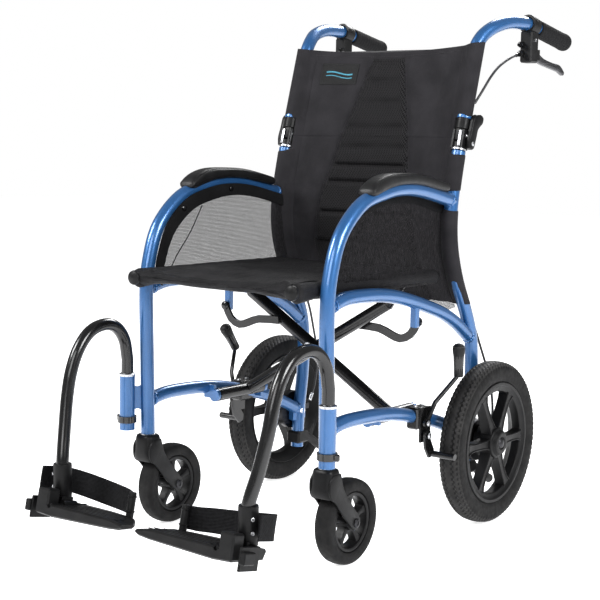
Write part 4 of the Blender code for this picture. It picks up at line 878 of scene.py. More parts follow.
def handles(side, s):
    pivot = sided(BACK_PIVOT, s)
    up = LEAN @ Vector((0, 0, 1))
    body = f"handle_{side}"
    start = pivot + up * 0.0275
    path = [
        (0.2005 * s, 0.206, 0.913), (0.2045 * s, 0.222, 0.93), (0.212 * s, 0.248, 0.946),
        (0.218 * s, 0.29, 0.958), (0.222 * s, 0.336, 0.961), tuple(sided(GRIP_START - GRIP_DIR * 0.02, s)),
        tuple(sided(GRIP_START + GRIP_DIR * 0.1, s))
    ]
    cane = Piece(f"handle_tube_{side}")
    matrix = Matrix.Translation(pivot) @ LEAN.to_4x4()
    cane.box((-0.0074, -0.0095, -0.0095), (0.0074, 0.0095, 0.033), PLASTIC, 0.0012, matrix)
    cane.tube([start, start + (Vector(path[0]) - start) * 0.5, *smooth_path(path)], TUBE_R - 0.0001, BLUE, 32)
    cane.done(body, "blue_paint", f"push_handle_{side}")

    grip = Piece(f"grip_{side}")
    profile = [(0.0131, 0.0), (0.015, 0.0), (0.0162, 0.0012), (0.0168, 0.004)]
    for k in range(1, 40):
        z = 0.004 + k * 0.0028
        profile.append(
            (0.0166 + 0.0005 * math.sin(z * math.tau / 0.0092) + 0.0008 * max(0, (z - 0.095) / 0.02), z)
        )
    profile += [(0.0174, 0.118), (0.0168, 0.121), (0.0145, 0.1232), (0.008, 0.124), (0.0001, 0.1241)]
    direction = sided(GRIP_DIR, s)
    grip.lathe(profile, sided(GRIP_START, s), direction, FOAM, 48)
    grip.done(body, "grip_foam", f"handle_grip_{side}", angle=50)

    housing = Piece(f"brake_body_{side}")
    housing.carry(f"brake_housing_{side}", GREY_PLASTIC)
    housing.lathe(
        [
            (0.0136, -0.0405), (0.018, -0.04), (0.0184, -0.038), (0.0184, -0.015), (0.018, -0.0125),
            (0.0136, -0.012)
        ],
        sided(GRIP_START, s), direction, GREY_PLASTIC, 48, closed=True
    )
    for z in (0.9215, 0.9045):
        profile = [
            (0.0001, 0.017), (0.003, 0.0168), (0.0034, 0.015), (0.0034, 0.01), (0.0058, 0.0095),
            (0.0058, 0.001), (0.005, 0.0)
        ]
        housing.lathe(profile[::-1], sided((0.217, 0.356, z), s), (0, -1, -0.13), GLOSS, 16)
    housing.lathe([(0.003, -0.0075), (0.0044, -0.007), (0.0044, 0.007), (0.003, 0.0078), (0.0001, 0.0079)],
                  sided((0.224, 0.396, 0.903), s), (s, 0, 0), STEEL, 20)
    housing.lathe(
        [(0.0036, 0.0), (0.0036, 0.0022), (0.0022, 0.0024), (0.0001, 0.0012)],
        sided((0.2369, 0.37, 0.93), s), (s, 0, 0), STEEL, 20
    )
    housing.done(body, "black_plastic", angle=32, bevel=0.001)

    lever = Piece(f"brake_blade_{side}")
    outline = [
        (0.3895, 0.899), (0.389, 0.906), (0.393, 0.9092), (0.402, 0.9085), (0.43, 0.898), (0.47, 0.892),
        (0.495, 0.8905), (0.508, 0.8865), (0.518, 0.88), (0.5235, 0.875), (0.52, 0.8695), (0.513, 0.87),
        (0.5, 0.8745), (0.49, 0.8765), (0.45, 0.8815), (0.415, 0.8865), (0.398, 0.892)
    ]
    x = 0.224 * s
    flat = [(p.x, p.y) for p in (Vector(q[1:]) for q in smooth_path([(0, *p) for p in outline], 3))]
    lever.slab(flat, x - 0.0034, x + 0.0034, LEVER_STEEL, edge=0.0011)
    lever.done(f"brake_lever_{side}", "dark_metal", f"brake_lever_{side}", angle=50)

    cable = Piece(f"cable_top_{side}")
    route = smooth_path(
        [
            sided(p, s)
            for p in [
                (0.217, 0.3415, 0.9009), (0.2165, 0.31, 0.892), (0.216, 0.268, 0.874),
                (0.218, 0.232, 0.852), (0.2175, 0.202, 0.824), (0.212, 0.184, 0.8)
            ]
        ]
    )
    cable.tube(route, 0.0024, SHEATH, 14)
    cable.tube([route[0], route[2]], 0.0034, GLOSS, 14)
    cable.done(body, "cable_sheath", f"brake_cable_upper_{side}", angle=60)
    cable = Piece(f"cable_low_{side}")
    route = smooth_path(
        [
            sided(p, s)
            for p in [
                (0.198, 0.182, 0.44), (0.1985, 0.222, 0.39), (0.204, 0.252, 0.33), (0.212, 0.28, 0.26),
                (0.2195, 0.282, 0.2), (0.2215, 0.268, 0.1655)
            ]
        ]
    )
    cable.tube(route, 0.0024, SHEATH, 14)
    cable.tube([route[-4], route[-1]], 0.0036, STEEL, 14)
    cable.done(f"frame_{side}", "cable_sheath", f"brake_cable_lower_{side}", angle=60)


def hinges(side, s):
    pivot = sided(BACK_PIVOT, s)
    up = LEAN @ Vector((0, 0, 1))
    matrix = Matrix.Translation(pivot) @ LEAN.to_4x4()
    piece = Piece(f"hinge_cheeks_{side}")
    piece.carry(f"back_hinge_{side}", PLASTIC)
    piece.done(f"frame_{side}", "dark_metal", angle=32, bevel=0.0012)
    trim = Piece(f"hinge_trim_{side}")
    for out in (-1, 1):
        trim.lathe(
            [(0.004, 0.012), (0.004, 0.014), (0.003, 0.015), (0.0001, 0.0153)], pivot, (out, 0, 0), STEEL,
            24
        )
    low, high = sorted((-s * 0.0122, -s * 0.0132))
    trim.box((low, -0.0085, -0.0225), (high, -0.0045, 0.009), STEEL, 0.0004, matrix)
    low, high = sorted((s * 0.002, s * 0.008))
    trim.box((low, -0.0126, -0.022), (high, -0.0108, 0.0085), STEEL, 0.0004, matrix)
    trim.lathe(
        [(0.0126, -0.0285), (0.014, -0.0282), (0.0142, -0.025), (0.0126, -0.0245)], pivot, up, STEEL, 40
    )
    trim.done(f"frame_{side}", "bright_steel", angle=32)
    collar = Piece(f"hinge_collar_{side}")
    collar.lathe(
        [(0.0126, 0.033), (0.0143, 0.0334), (0.0146, 0.036), (0.0143, 0.0388), (0.0126, 0.0392)], pivot, up,
        BLUE, 40
    )
    collar.lathe(
        [(0.0126, 0.0125), (0.0132, 0.013), (0.0134, 0.0225), (0.0134, 0.0325), (0.0126, 0.033)], pivot, up,
        PLASTIC, 32
    )
    collar.done(f"handle_{side}", "bright_steel", angle=32)

    wing = Piece(f"release_wing_{side}")
    outline = [
        (0.146, 0.716), (0.1455, 0.726), (0.147, 0.736), (0.154, 0.753), (0.159, 0.769), (0.164, 0.775),
        (0.17, 0.778), (0.183, 0.7785), (0.192, 0.775), (0.1948, 0.77), (0.1915, 0.7615), (0.183, 0.756),
        (0.175, 0.749), (0.17, 0.735), (0.162, 0.716), (0.154, 0.7125)
    ]
    flat = [tuple(p[1:]) for p in smooth_path([(0, *p) for p in outline], 3)]
    x = 0.222 * s
    wing.slab(flat, x - 0.0048, x + 0.0048, PLASTIC, edge=0.0016)
    wing.lathe(
        [(0.0044, 0.0046), (0.0044, 0.0062), (0.003, 0.007), (0.0001, 0.0072)], (x, 0.155, 0.724),
        (s, 0, 0), STEEL, 20
    )
    wing.done(f"release_{side}", "black_plastic", f"back_release_lever_{side}", angle=50)


# ---------------------------------------------------------------- footrests
def on_plate(points, s):
    return [PLATE @ Vector((p[0] * s, p[1], p[2])) for p in points]


def footrests(side, s):
    path = [
        (0.2275, -0.29, 0.196), (0.2275, -0.29, 0.32), (0.2273, -0.2985, 0.356), (0.2268, -0.32, 0.381),
        (0.2262, -0.35, 0.389), (0.2255, -0.386, 0.38), (0.225, -0.414, 0.353), (0.225, -0.432, 0.315),
        (0.224, -0.443, 0.27), (0.217, -0.456, 0.212), (0.208, -0.469, 0.16), (0.207, -0.47, 0.124)
    ]
    hanger = Piece(f"hanger_tube_{side}")
    points = [sided(p, s) for p in path]
    hanger.tube([points[0], points[0].lerp(points[1], 0.5), *smooth_path(points[1:], 5)], 0.0112, BLACK, 28)
    hanger.done(f"hanger_{side}", "black_paint", f"footrest_hanger_{side}")

    bracket = Piece(f"footplate_clamp_{side}")
    bracket.carry(f"footplate_bracket_{side}", PLASTIC)
    bracket.lathe(
        [
            (0.0128, 0.0955), (0.0158, 0.096), (0.0162, 0.0985), (0.0162, 0.156), (0.0158, 0.1588),
            (0.0134, 0.1592)
        ],
        sided((0.2079, -0.4688, 0), s), (0, 0, 1), PLASTIC, 44
    )
    for z in (0.118, 0.14):
        bracket.lathe(
            [(0.0032, 0.015), (0.0032, 0.0178), (0.0022, 0.0184), (0.0001, 0.018)],
            sided((0.2079, -0.4688, z), s), (s, -0.5, 0), STEEL, 16
        )
    bracket.done(f"hanger_{side}", "black_plastic", angle=32, bevel=0.0008)

    plate = Piece(f"footplate_body_{side}")
    plate.carry(f"footplate_{side}", GREY_PLASTIC)
    plate.done(f"footplate_{side}", "black_plastic", angle=30, bevel=0.0012)
    grip = Piece(f"footplate_grip_{side}")
    for k in range(5):
        depth = 0.012 + k * 0.0135
        inner = 0.034 + max(0.0, (depth - 0.03) * 1.05)
        grip.box(
            (min(inner * s, 0.168 * s), depth - 0.0016, 0.018),
            (max(inner * s, 0.168 * s), depth + 0.0016, 0.0193), PLASTIC, 0.0005, PLATE
        )
    grip.done(f"footplate_{side}", "black_rubber", angle=32)

    # The heel loop's webbing, a thin band on edge that follows the CAD band's rows.
    band_rows = [
        (0.06, 0.0725, 0.0215, 0.06), (0.069, 0.0775, 0.0212, 0.0598), (0.078, 0.083, 0.0205, 0.06),
        (0.1, 0.093, 0.0215, 0.0622), (0.15, 0.102, 0.024, 0.0662), (0.195, 0.1, 0.0285, 0.0712),
        (0.226, 0.088, 0.033, 0.0752), (0.24, 0.066, 0.035, 0.077), (0.2436, 0.028, 0.036, 0.076)
    ]
    line = smooth_path([(x, d, 0) for x, d, _, _ in band_rows], 5)
    edges = smooth_path([(low, high, 0) for _, _, low, high in band_rows], 5)
    rows = []
    for i, (point, edge) in enumerate(zip(line, edges)):
        along = (line[min(i + 1, len(line) - 1)] - line[max(i - 1, 0)]).normalized()
        out = Vector((-along.y, along.x, 0))
        loop = []
        for k in range(15):
            t = k / 14
            wave = 0.0012 * math.sin(i * 0.35 + s) * math.sin(math.pi * t)
            loop.append(point + out * (0.0012 + wave) + Vector((0, 0, edge.x + (edge.y - edge.x) * t)))
        back = [p - out * 0.0024 for p in reversed(loop)]
        rows.append(on_plate([*loop, *back], s))
    loop = Piece(f"heel_webbing_{side}")
    loop.grid(rows, WEBBING, wrap=True, caps=True)
    webbing = loop.done(f"footplate_{side}", "webbing", f"heel_loop_{side}", angle=50)
    post = Piece(f"heel_post_{side}")
    axis = PLATE.to_3x3() @ Vector((0, 0, 1))
    base = PLATE @ Vector((0.06 * s, 0.066, 0))
    post.lathe([(0.0066, 0.018), (0.0066, 0.059), (0.006, 0.061), (0.0001, 0.0618)], base, axis, PLASTIC, 28)
    for z in (0.027, 0.052):
        post.lathe(
            [(0.007, z), (0.0078, z + 0.0008), (0.0078, z + 0.0022), (0.007, z + 0.003)], base, axis,
            PLASTIC, 28
        )
    post.done(f"footplate_{side}", "webbing", angle=40)

    collar = Piece(f"latch_collar_{side}")
    collar.carry(f"hanger_latch_{side}", GLOSS)
    collar.done(f"latch_{side}", "black_plastic", angle=32, bevel=0.0006)


# ---------------------------------------------------------------- brakes, braces
def brakes(side, s):
    bracket = Piece(f"brake_clamp_{side}")
    bracket.carry(f"parking_brake_bracket_{side}", BLACK)
    for y, z in ((0.018, 0.216), (0.022, 0.192)):
        bracket.lathe(
            [(0.0056, 0.0), (0.0056, 0.0018), (0.004, 0.0028), (0.0001, 0.003)], sided((0.2322, y, z), s),
            (s, 0, 0), STEEL, 24
        )
    for y in (0.01, 0.033):
        bracket.lathe(
            [(0.0042, 0.0), (0.0042, 0.003), (0.0001, 0.0034)], sided((0.208, y, 0.2438), s), (0, 0, 1),
            STEEL, 6
        )
    bracket.done(f"frame_{side}", "black_paint", angle=32, bevel=0.001)

    turn = Matrix.Rotation(0.0 if s > 0 else math.radians(33), 4, "X")
    pivot = Vector((0.238 * s, 0.018, 0.216))
    about = Matrix.Translation(pivot) @ turn @ Matrix.Translation(-pivot)
    lever = Piece(f"park_lever_{side}")
    lever.carry(f"parking_brake_lever_{side}", BLACK)
    shorter = Vector((0, 0, 0)) if s > 0 else Vector((0, -0.0165, -0.018))
    low = about @ sided(Vector((0.2442, 0.101, 0.296)) + shorter, s)
    high = about @ sided(Vector((0.245, 0.097, 0.351)) + shorter, s)
    lever.lathe(
        [
            (0.0062, -0.003), (0.0084, -0.0022), (0.0087, 0.0), (0.009, 0.02), (0.01, 0.036),
            (0.0112, 0.044), (0.0117, 0.049), (0.0112, 0.0535), (0.0098, 0.0565), (0.007, 0.059),
            (0.0035, 0.0602), (0.0001, 0.0605)
        ],
        low, high - low, RUBBER, 40
    )
    lever.done(f"parking_lever_{side}", "black_rubber", angle=38)

    shoe = Piece(f"park_shoe_{side}")
    shoe.carry(f"parking_brake_shoe_{side}", BLACK)
    shoe.done(f"parking_shoe_{side}", "black_paint", angle=32, bevel=0.0006)

    drum = Piece(f"hub_drum_{side}")
    drum.carry(f"hub_brake_{side}", DARK_STEEL)
    inner = 0.218 * s
    drum.lathe(
        [
            (0.01, -0.001), (0.033, -0.0008), (0.0392, 0.0006), (0.0402, 0.002), (0.0402, 0.014),
            (0.0395, 0.0153), (0.01, 0.0154)
        ],
        (inner, *WHEEL_AXLE_YZ), (s, 0, 0), DARK_STEEL, 72
    )
    drum.done(f"frame_{side}", "dark_metal", angle=30, bevel=0.0006)

    tail = Piece(f"tipping_bar_{side}")
    tail.carry(f"tipping_lever_{side}", RUBBER)
    x = FRAME_X * s
    tail.tube(
        smooth_path([(x, 0.223, 0.0982), (x, 0.24, 0.093), (x, 0.27, 0.074), (x, 0.3052, 0.0558)], 5),
        0.0089, RUBBER, 24
    )
    tail.done(f"frame_{side}", "black_rubber", angle=34, bevel=0.0008)

    arm = Piece(f"link_bar_{side}")
    arm.carry(f"link_arm_{side}", BLACK)
    link_y = {1: 0.016, -1: -0.04}[s]
    arm.lathe(
        [(0.004, 0.0022), (0.0085, 0.0024), (0.0085, 0.004), (0.006, 0.0058), (0.0001, 0.0062)],
        (FRAME_X * s, link_y, 0.4), (0, s, 0), BLACK, 24
    )
    arm.done(f"link_{side}", "black_paint", angle=34, bevel=0.0008)


def braces():
    for letter, s, y in (("a", -1, 0.0015), ("b", 1, -0.0255)):
        slope = (CROSS_Z - PIVOT_Z) / PIVOT_X
        foot = Vector((PIVOT_X * s, y, PIVOT_Z))
        knee = Vector((-0.15 * s, y, CROSS_Z + 0.15 * slope))
        piece = Piece(f"brace_tubes_{letter}")
        piece.carry(f"cross_brace_{letter}", BLACK, 0.0003)
        piece.tube([foot, foot.lerp(knee, 0.5), knee], 0.0118, BLACK, 28)
        piece.tube([(PIVOT_X * s, -0.0935, PIVOT_Z), (PIVOT_X * s, 0.0405, PIVOT_Z)], 0.0123, BLACK, 32)
        piece.done(f"brace_{letter}", "black_paint", angle=34)
        low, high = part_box(f"cross_brace_{letter}")
        rail_x, rail_z = -RAIL_X * s, high.z - 0.0115
        plug = Piece(f"rail_plugs_{letter}")
        for end, way in ((low.y, -1), (high.y, 1)):
            plug.lathe(
                [
                    (0.0098, -0.004), (0.0128, -0.002), (0.0132, 0.001), (0.0122, 0.004), (0.008, 0.0062),
                    (0.0001, 0.0068)
                ],
                (rail_x, end, rail_z), (0, way, 0), PLASTIC, 36
            )
        plug.done(f"brace_{letter}", "black_plastic", angle=40)
    bolt = Piece("centre_bolt")
    bolt.carry("brace_centre_bolt", STEEL)
    bolt.done("brace_a", "bright_steel", angle=32, bevel=0.0008)


# ---------------------------------------------------------------- upholstery
BACK_ROWS = [
    (0.415, 0.181), (0.44, 0.165), (0.468, 0.15), (0.528, 0.127), (0.582, 0.121), (0.64, 0.126),
    (0.732, 0.149), (0.78, 0.162), (0.85, 0.183), (0.914, 0.203)
]
SPINE = [
    (0.415, 0.127), (0.44, 0.125), (0.526, 0.117), (0.607, 0.1065), (0.69, 0.085), (0.748, 0.074),
    (0.788, 0.062), (0.838, 0.0487), (0.892, 0.0357)
]
BACK_SPLIT, BACK_PART = 0.17, 102
GROOVES = (0.47, 0.526, 0.585, 0.6465, 0.679)
FOLDS = (0.713, 0.752, 0.802, 0.844)
SPINE_TOP = 0.892


def from_table(table, at):
    return float(np.interp(at, [r[0] for r in table], [r[1] for r in table]))


def cane_y(z):
    """Where the tube that the back hangs on lies, at a height."""
    post = [(p[2], p[1]) for p in smooth_path(post_points(1), 4) if p[2] > 0.3]
    if z < 0.7:
        return from_table(sorted(post), z)
    return BACK_PIVOT.y + (z - BACK_PIVOT.z) * math.tan(math.radians(16))


def ramp(value, low, high):
    t = min(max((value - low) / (high - low), 0.0), 1.0)
    return t * t * (3 - 2 * t)


def back_relief(x, z):
    """How far the padded front stands proud of the panel's base, towards the sitter."""
    half = from_table(SPINE, z)
    inside = ramp(half - abs(x), -0.001, 0.007) * ramp(SPINE_TOP - z, 0.0, 0.006)
    # The two charcoal wings bulge softly, and pucker where they are sewn.
    swell = 0.0035 * ramp(0.178 - abs(x), 0.0, 0.05) * (1 - math.exp(-(((abs(x) - half) / 0.01) ** 2)))
    rise = swell * (1 - inside)
    if inside:
        cushion = 0.0085
        for groove in GROOVES:
            cushion -= 0.008 * math.exp(-(((z - groove) / 0.004) ** 2))
        for fold in FOLDS:
            cushion -= 0.0058 * math.exp(-(((z - fold) / 0.0075) ** 2)) * (
                0.75 + 0.25 * math.sin(x * 60 + fold * 40)
            )
        rise += cushion * inside
    rise -= 0.0016 * math.exp(-(((abs(x) - half) / 0.0016) ** 2)) * ramp(SPINE_TOP + 0.002 - z, 0.0, 0.002)
    for seam in (0.142, -0.18):
        rise -= 0.0016 * math.exp(-(((x - seam) / 0.002) ** 2)) - 0.001 * math.exp(
            -(((x - seam) / 0.0075) ** 2)
        )
    wrinkle = noise.noise(Vector((x * 9 + 3, z * 16, 0.3))) * 0.0016 + noise.noise(
        Vector((x * 40, z * 26 + x * 20, 1.7))
    ) * 0.0006
    return rise + wrinkle * (1 - 0.5 * inside)


def sleeve_amount(z, s):
    """1 where the cloth goes round the tube, and 0 at the hinge and the armrest's end."""
    hinge = 1 - ramp(z, 0.703, 0.709) + ramp(z, 0.7695, 0.7755)
    arm = 1 - ramp(z, 0.6, 0.606) + ramp(z, 0.63, 0.636) if s > 0 else 1.0
    low = ramp(z, 0.41, 0.414)
    return min(hinge, arm, low, 1.0)


def back_section(z, side, tuck=0.0):
    """A closed line around the back's cloth at one height: its middle, or the sleeve on one side."""
    base = from_table(BACK_ROWS, z)
    axis = cane_y(z)
    r_s = 0.0146
    front, back = [], []
    count = 112
    part_t = 2 * BACK_PART / count - 1
    ends = {}
    for s in (-1, 1):
        w = sleeve_amount(z, s)
        # The end arc is centred on the tube's own axis, or on a hem just inside it.
        ends[s] = (
            Vector((s * (0.1866 + (0.2035 - 0.1866) * w), 0)), base * (1 - w) + axis * w,
            0.0035 + (r_s - 0.0035) * w
        )
    for i in range(count + 1):
        t = 2 * i / count - 1
        s = 1 if t > 0 else -1
        centre, y_c, radius = ends[s]
        if abs(t) <= part_t:
            x = t / part_t * BACK_SPLIT
        else:
            x = s * (BACK_SPLIT + (abs(centre.x) - BACK_SPLIT) * (abs(t) - part_t) / (1 - part_t))
        sag = 0.019 * (1 - (x / 0.2035) ** 4)
        edge = ramp(abs(t), part_t, 1.0)
        y_front = (base + sag - 0.004 - back_relief(x, z)) * (1 - edge) + (y_c - radius) * edge + tuck
        y_back = (base + sag + 0.003) * (1 - edge) + (y_c + radius) * edge
        front.append((x, y_front, z))
        back.append((x, y_back, z))
    if side == 0:
        return front[count - BACK_PART : BACK_PART + 1] + back[count - BACK_PART : BACK_PART + 1][::-1]
    centre, y_c, radius = ends[side]
    arc = []
    for k in range(1, 16):
        a = side * (-math.pi / 2 + math.pi * k / 16)
        arc.append((centre.x + side * radius * math.cos(a), y_c + side * radius * math.sin(a), z))
    if side > 0:
        return front[BACK_PART:] + arc + back[BACK_PART:][::-1]
    return front[: count - BACK_PART + 1][::-1] + arc + back[: count - BACK_PART + 1]


def back_cloth(name, low, high, step, body, side, *nodes):
    piece = Piece(name)
    count = round((high - low) / step)
    top = high > 0.85
    heights = [low + (high - low) * i / count for i in range(count + 1)]
    rows = [back_section(z, side, 0.0 if top else 0.0016 * ramp(z, 0.7345, 0.7375)) for z in heights]
    if top:
        shaped = []
        for row in rows:
            z = row[0][2]
            share = ramp(z, 0.84, high)
            shaped.append(
                [
                    (
                        x, y - (0.01 * (1 - (x / 0.2) ** 2) * share) * 0.29,
                        z - 0.01 * (1 - (x / 0.2) ** 2) * share
                    ) for x,
                    y, z in row
                ]
            )
        rows = shaped
    piece.grid(rows, NYLON, wrap=True, caps=True)
    piece.bm.faces.ensure_lookup_table()
    black = []
    for face in piece.bm.faces:
        c = face.calc_center_median()
        front = from_table(BACK_ROWS, c.z) + 0.019 * (1 - (c.x / 0.2) ** 4) - 0.001
        on_spine = abs(c.x) < from_table(SPINE, c.z) and c.z < SPINE_TOP - 0.003
        if len(face.verts) == 4 and on_spine and c.y < front:
            black.append(face)
    piece.paint(black, SPACER)
    obj = piece.done(body, "upholstery", *nodes, angle=70)
    return obj


def stitches(piece, points, pitch=0.0042, length=0.0026, radius=0.00035, material=None):
    """Short raised threads along a line of points."""
    path = [Vector(p) for p in points]
    travelled, following = 0.0, 0.0
    for a, b in zip(path, path[1:]):
        span = (b - a).length
        while following < travelled + span:
            t = (following - travelled) / span
            spot = a.lerp(b, t)
            along = (b - a).normalized() * length / 2
            piece.tube([spot - along, spot + along], radius, material or THREAD, 5)
            following += pitch
        travelled += span


def front_of_back(x, z, lift=0.0004):
    base = from_table(BACK_ROWS, z)
    t = x / 0.2035
    sag = 0.019 * (1 - t**4)
    edge = ramp(abs(t), 0.88, 1.0)
    y = (base + sag - 0.004 - back_relief(x, z)) * (1 - edge) + (cane_y(z) - 0.0146) * edge
    share = ramp(z, 0.84, 0.912)
    dip = 0.01 * (1 - (x / 0.2) ** 2) * share
    return Vector((x, y - dip * 0.29 - lift, z - dip))


def back_details():
    upper = Piece("back_stitching_upper")
    for s in (-1, 1):
        stitches(
            upper,
            [front_of_back(s * (from_table(SPINE, z) + 0.0042), z) for z in np.linspace(0.738, 0.889, 40)]
        )
    stitches(upper, [front_of_back(x, SPINE_TOP + 0.003) for x in np.linspace(-0.037, 0.037, 20)])
    for x0, x1 in ((-0.172, 0.172),):
        stitches(upper, [front_of_back(x, 0.903) for x in np.linspace(x0, x1, 60)])
    upper.done("handle_right", "upholstery", angle=60, normals=False)
    lower = Piece("back_stitching_lower")
    for s in (-1, 1):
        stitches(
            lower,
            [front_of_back(s * (from_table(SPINE, z) + 0.0042), z) for z in np.linspace(0.505, 0.73, 60)]
        )
    lower.done("frame_right", "upholstery", angle=60, normals=False)

    # A plain woven label with a border and one wavy stripe.
    label = Piece("woven_label")
    corners = ((-0.152, -0.066), (0.8395, 0.8865))
    rows = []
    for j in range(13):
        z = corners[1][0] + (corners[1][1] - corners[1][0]) * j / 12
        rows.append(
            [
                front_of_back(corners[0][0] + (corners[0][1] - corners[0][0]) * i / 20, z, 0.0011)
                for i in range(21)
            ]
        )
    back = [[p + Vector((0, 0.0012, 0)) for p in row] for row in rows]
    label.grid(rows, LABEL)
    label.grid(back, LABEL)
    for edge in (lambda r: r[0], lambda r: r[-1]):
        label.grid([[edge(r) for r in rows], [edge(r) for r in back]], LABEL)
    label.grid([rows[0], back[0]], LABEL)
    label.grid([rows[-1], back[-1]], LABEL)
    for k, width in ((0, 0.0022), (1, 0.0011)):
        wave = [
            front_of_back(x, 0.863 - k * 0.0075 + 0.0035 * math.sin((x + 0.15) * 75), 0.0013)
            for x in np.linspace(-0.14, -0.078, 40)
        ]
        label.grid(
            [[p + Vector((0, 0, width)) for p in wave], [p - Vector((0, 0, width)) for p in wave]],
            LABEL_BLUE
        )
    border = [
        front_of_back(x, z, 0.0014) for x,
        z in (
            [(x, 0.8415) for x in np.linspace(-0.15, -0.068, 20)]
            + [(-0.068, z) for z in np.linspace(0.8415, 0.8845, 12)]
            + [(x, 0.8845) for x in np.linspace(-0.068, -0.15, 20)]
            + [(-0.15, z) for z in np.linspace(0.8845, 0.8415, 12)]
        )
    ]
    stitches(label, border, 0.003, 0.0018, 0.0003)
    label.done("handle_right", "upholstery", angle=60, normals=False)


def seat():
    """The padded seat: a cushion between two rails, whose cloth goes round both, with a rolled front edge."""
    low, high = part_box("seat_sling")
    y0, y1 = low.y - 0.004, high.y
    rail_x, rail_z, wrap_r = RAIL_X, RAIL_Z, 0.0146
    along, columns = 104, 76
    rows, sleeves = [], {1: [], -1: []}
    for j in range(along + 1):
        v = j / along
        y = y0 + (y1 - y0) * (0.5 - 0.5 * math.cos(math.pi * v) if v < 0.12 or v > 0.88 else v)
        front, rear = min((y - y0) / 0.015, 1.0), min((y1 - y) / 0.008, 1.0)
        squeeze = max(0.06, math.sqrt(1 - (1 - front) ** 2) * math.sqrt(1 - (1 - rear) ** 2))
        wrap = max(0.35, squeeze)
        nose = 1 - ramp(y, y0, y0 + 0.06)
        top, bottom = [], []
        for i in range(columns + 1):
            t = 2 * i / columns - 1
            x = t * 0.17
            soft = noise.noise(Vector((x * 13 + 5, y * 9, 0.4))) * 0.0055
            fine = noise.noise(Vector((x * 38 + y * 22, y * 30, 2.2))) * 0.003
            tug = noise.noise(Vector((x * 55, y * 7, 7.0))) * 0.0026 * ramp(abs(t), 0.4, 0.85)
            corner = noise.noise(Vector((x * 70, y * 60, 4.0))) * 0.007 * ramp(abs(t), 0.5, 0.95) * nose
            near_rail = ramp(abs(t), 0.72, 1.0)
            z_top = (
                0.4965 - 0.005 * (1 - t * t) - 0.003 * nose * (1 - t * t)
            ) * (1 - near_rail) + near_rail * (rail_z + 0.0158)
            z_top += soft + fine + tug + corner
            z_low = (
                0.466 - 0.004 * (1 - t * t)
            ) * (1 - near_rail) + near_rail * (rail_z - 0.0128) - soft * 0.4
            middle = (z_top + z_low) / 2
            y_here = y + noise.noise(Vector((x * 22, 0.5, 0.2))) * 0.0022 * nose
            top.append((x, y_here, middle + (z_top - middle) * squeeze))
            bottom.append((x, y_here, middle + (z_low - middle) * squeeze))
        rows.append([*top, *bottom[::-1]])
        for s, sleeve in sleeves.items():
            ring = []
            for k in range(32):
                a = math.tau * k / 32
                r = (wrap_r + 0.001 * nose) * wrap + noise.noise(Vector((s * 4, y * 60, a * 2))) * 0.0009
                droop = 0.004 * nose * wrap * max(0, -math.sin(a))
                ring.append((s * (rail_x + r * math.cos(a)), y, rail_z + r * math.sin(a) - droop))
            sleeve.append(ring)
    piece = Piece("seat_cushion")
    piece.grid(rows, SEAT_CLOTH, wrap=True, caps=True)
    for s, letter in ((1, "a"), (-1, "b")):
        sleeve = Piece(f"seat_sleeve_{letter}")
        sleeve.grid(sleeves[s], SEAT_CLOTH, wrap=True, caps=True)
        sleeve.done(f"brace_{letter}", "upholstery", angle=70)
    return piece


def settle(obj, pressure, cap, frames=14, hold=None):
    """Puffs a closed cloth form by simulation, holds back how far a point moves, and applies it."""
    rest = np.array([v.co for v in obj.data.vertices], float)
    keep = obj.vertex_groups.new(name="held")
    for v in obj.data.vertices:
        keep.add([v.index], 1.0 if hold(v.co) else 0.0, "REPLACE")
    cloth = obj.modifiers.new("cloth", "CLOTH")
    cloth.settings.use_pressure = True
    cloth.settings.uniform_pressure_force = pressure
    cloth.settings.effector_weights.gravity = 0
    cloth.settings.mass = 0.2
    cloth.settings.tension_stiffness = 12
    cloth.settings.bending_stiffness = 0.4
    cloth.settings.vertex_group_mass = "held"
    cloth.settings.quality = 4
    for number in range(1, frames + 1):
        bpy.context.scene.frame_set(number)
    graph = bpy.context.evaluated_depsgraph_get()
    mesh = obj.evaluated_get(graph).to_mesh()
    moved = np.array([v.co for v in mesh.vertices], float)
    obj.evaluated_get(graph).to_mesh_clear()
    obj.modifiers.remove(cloth)
    obj.vertex_groups.clear()
    bpy.context.scene.frame_set(1)
    shift = moved - rest
    length = np.linalg.norm(shift, axis=1, keepdims=True)
    shift *= np.minimum(1.0, cap / np.maximum(length, 1e-9))
    obj.data.vertices.foreach_set("co", (rest + shift).astype(np.float32).ravel())
    obj.data.update()


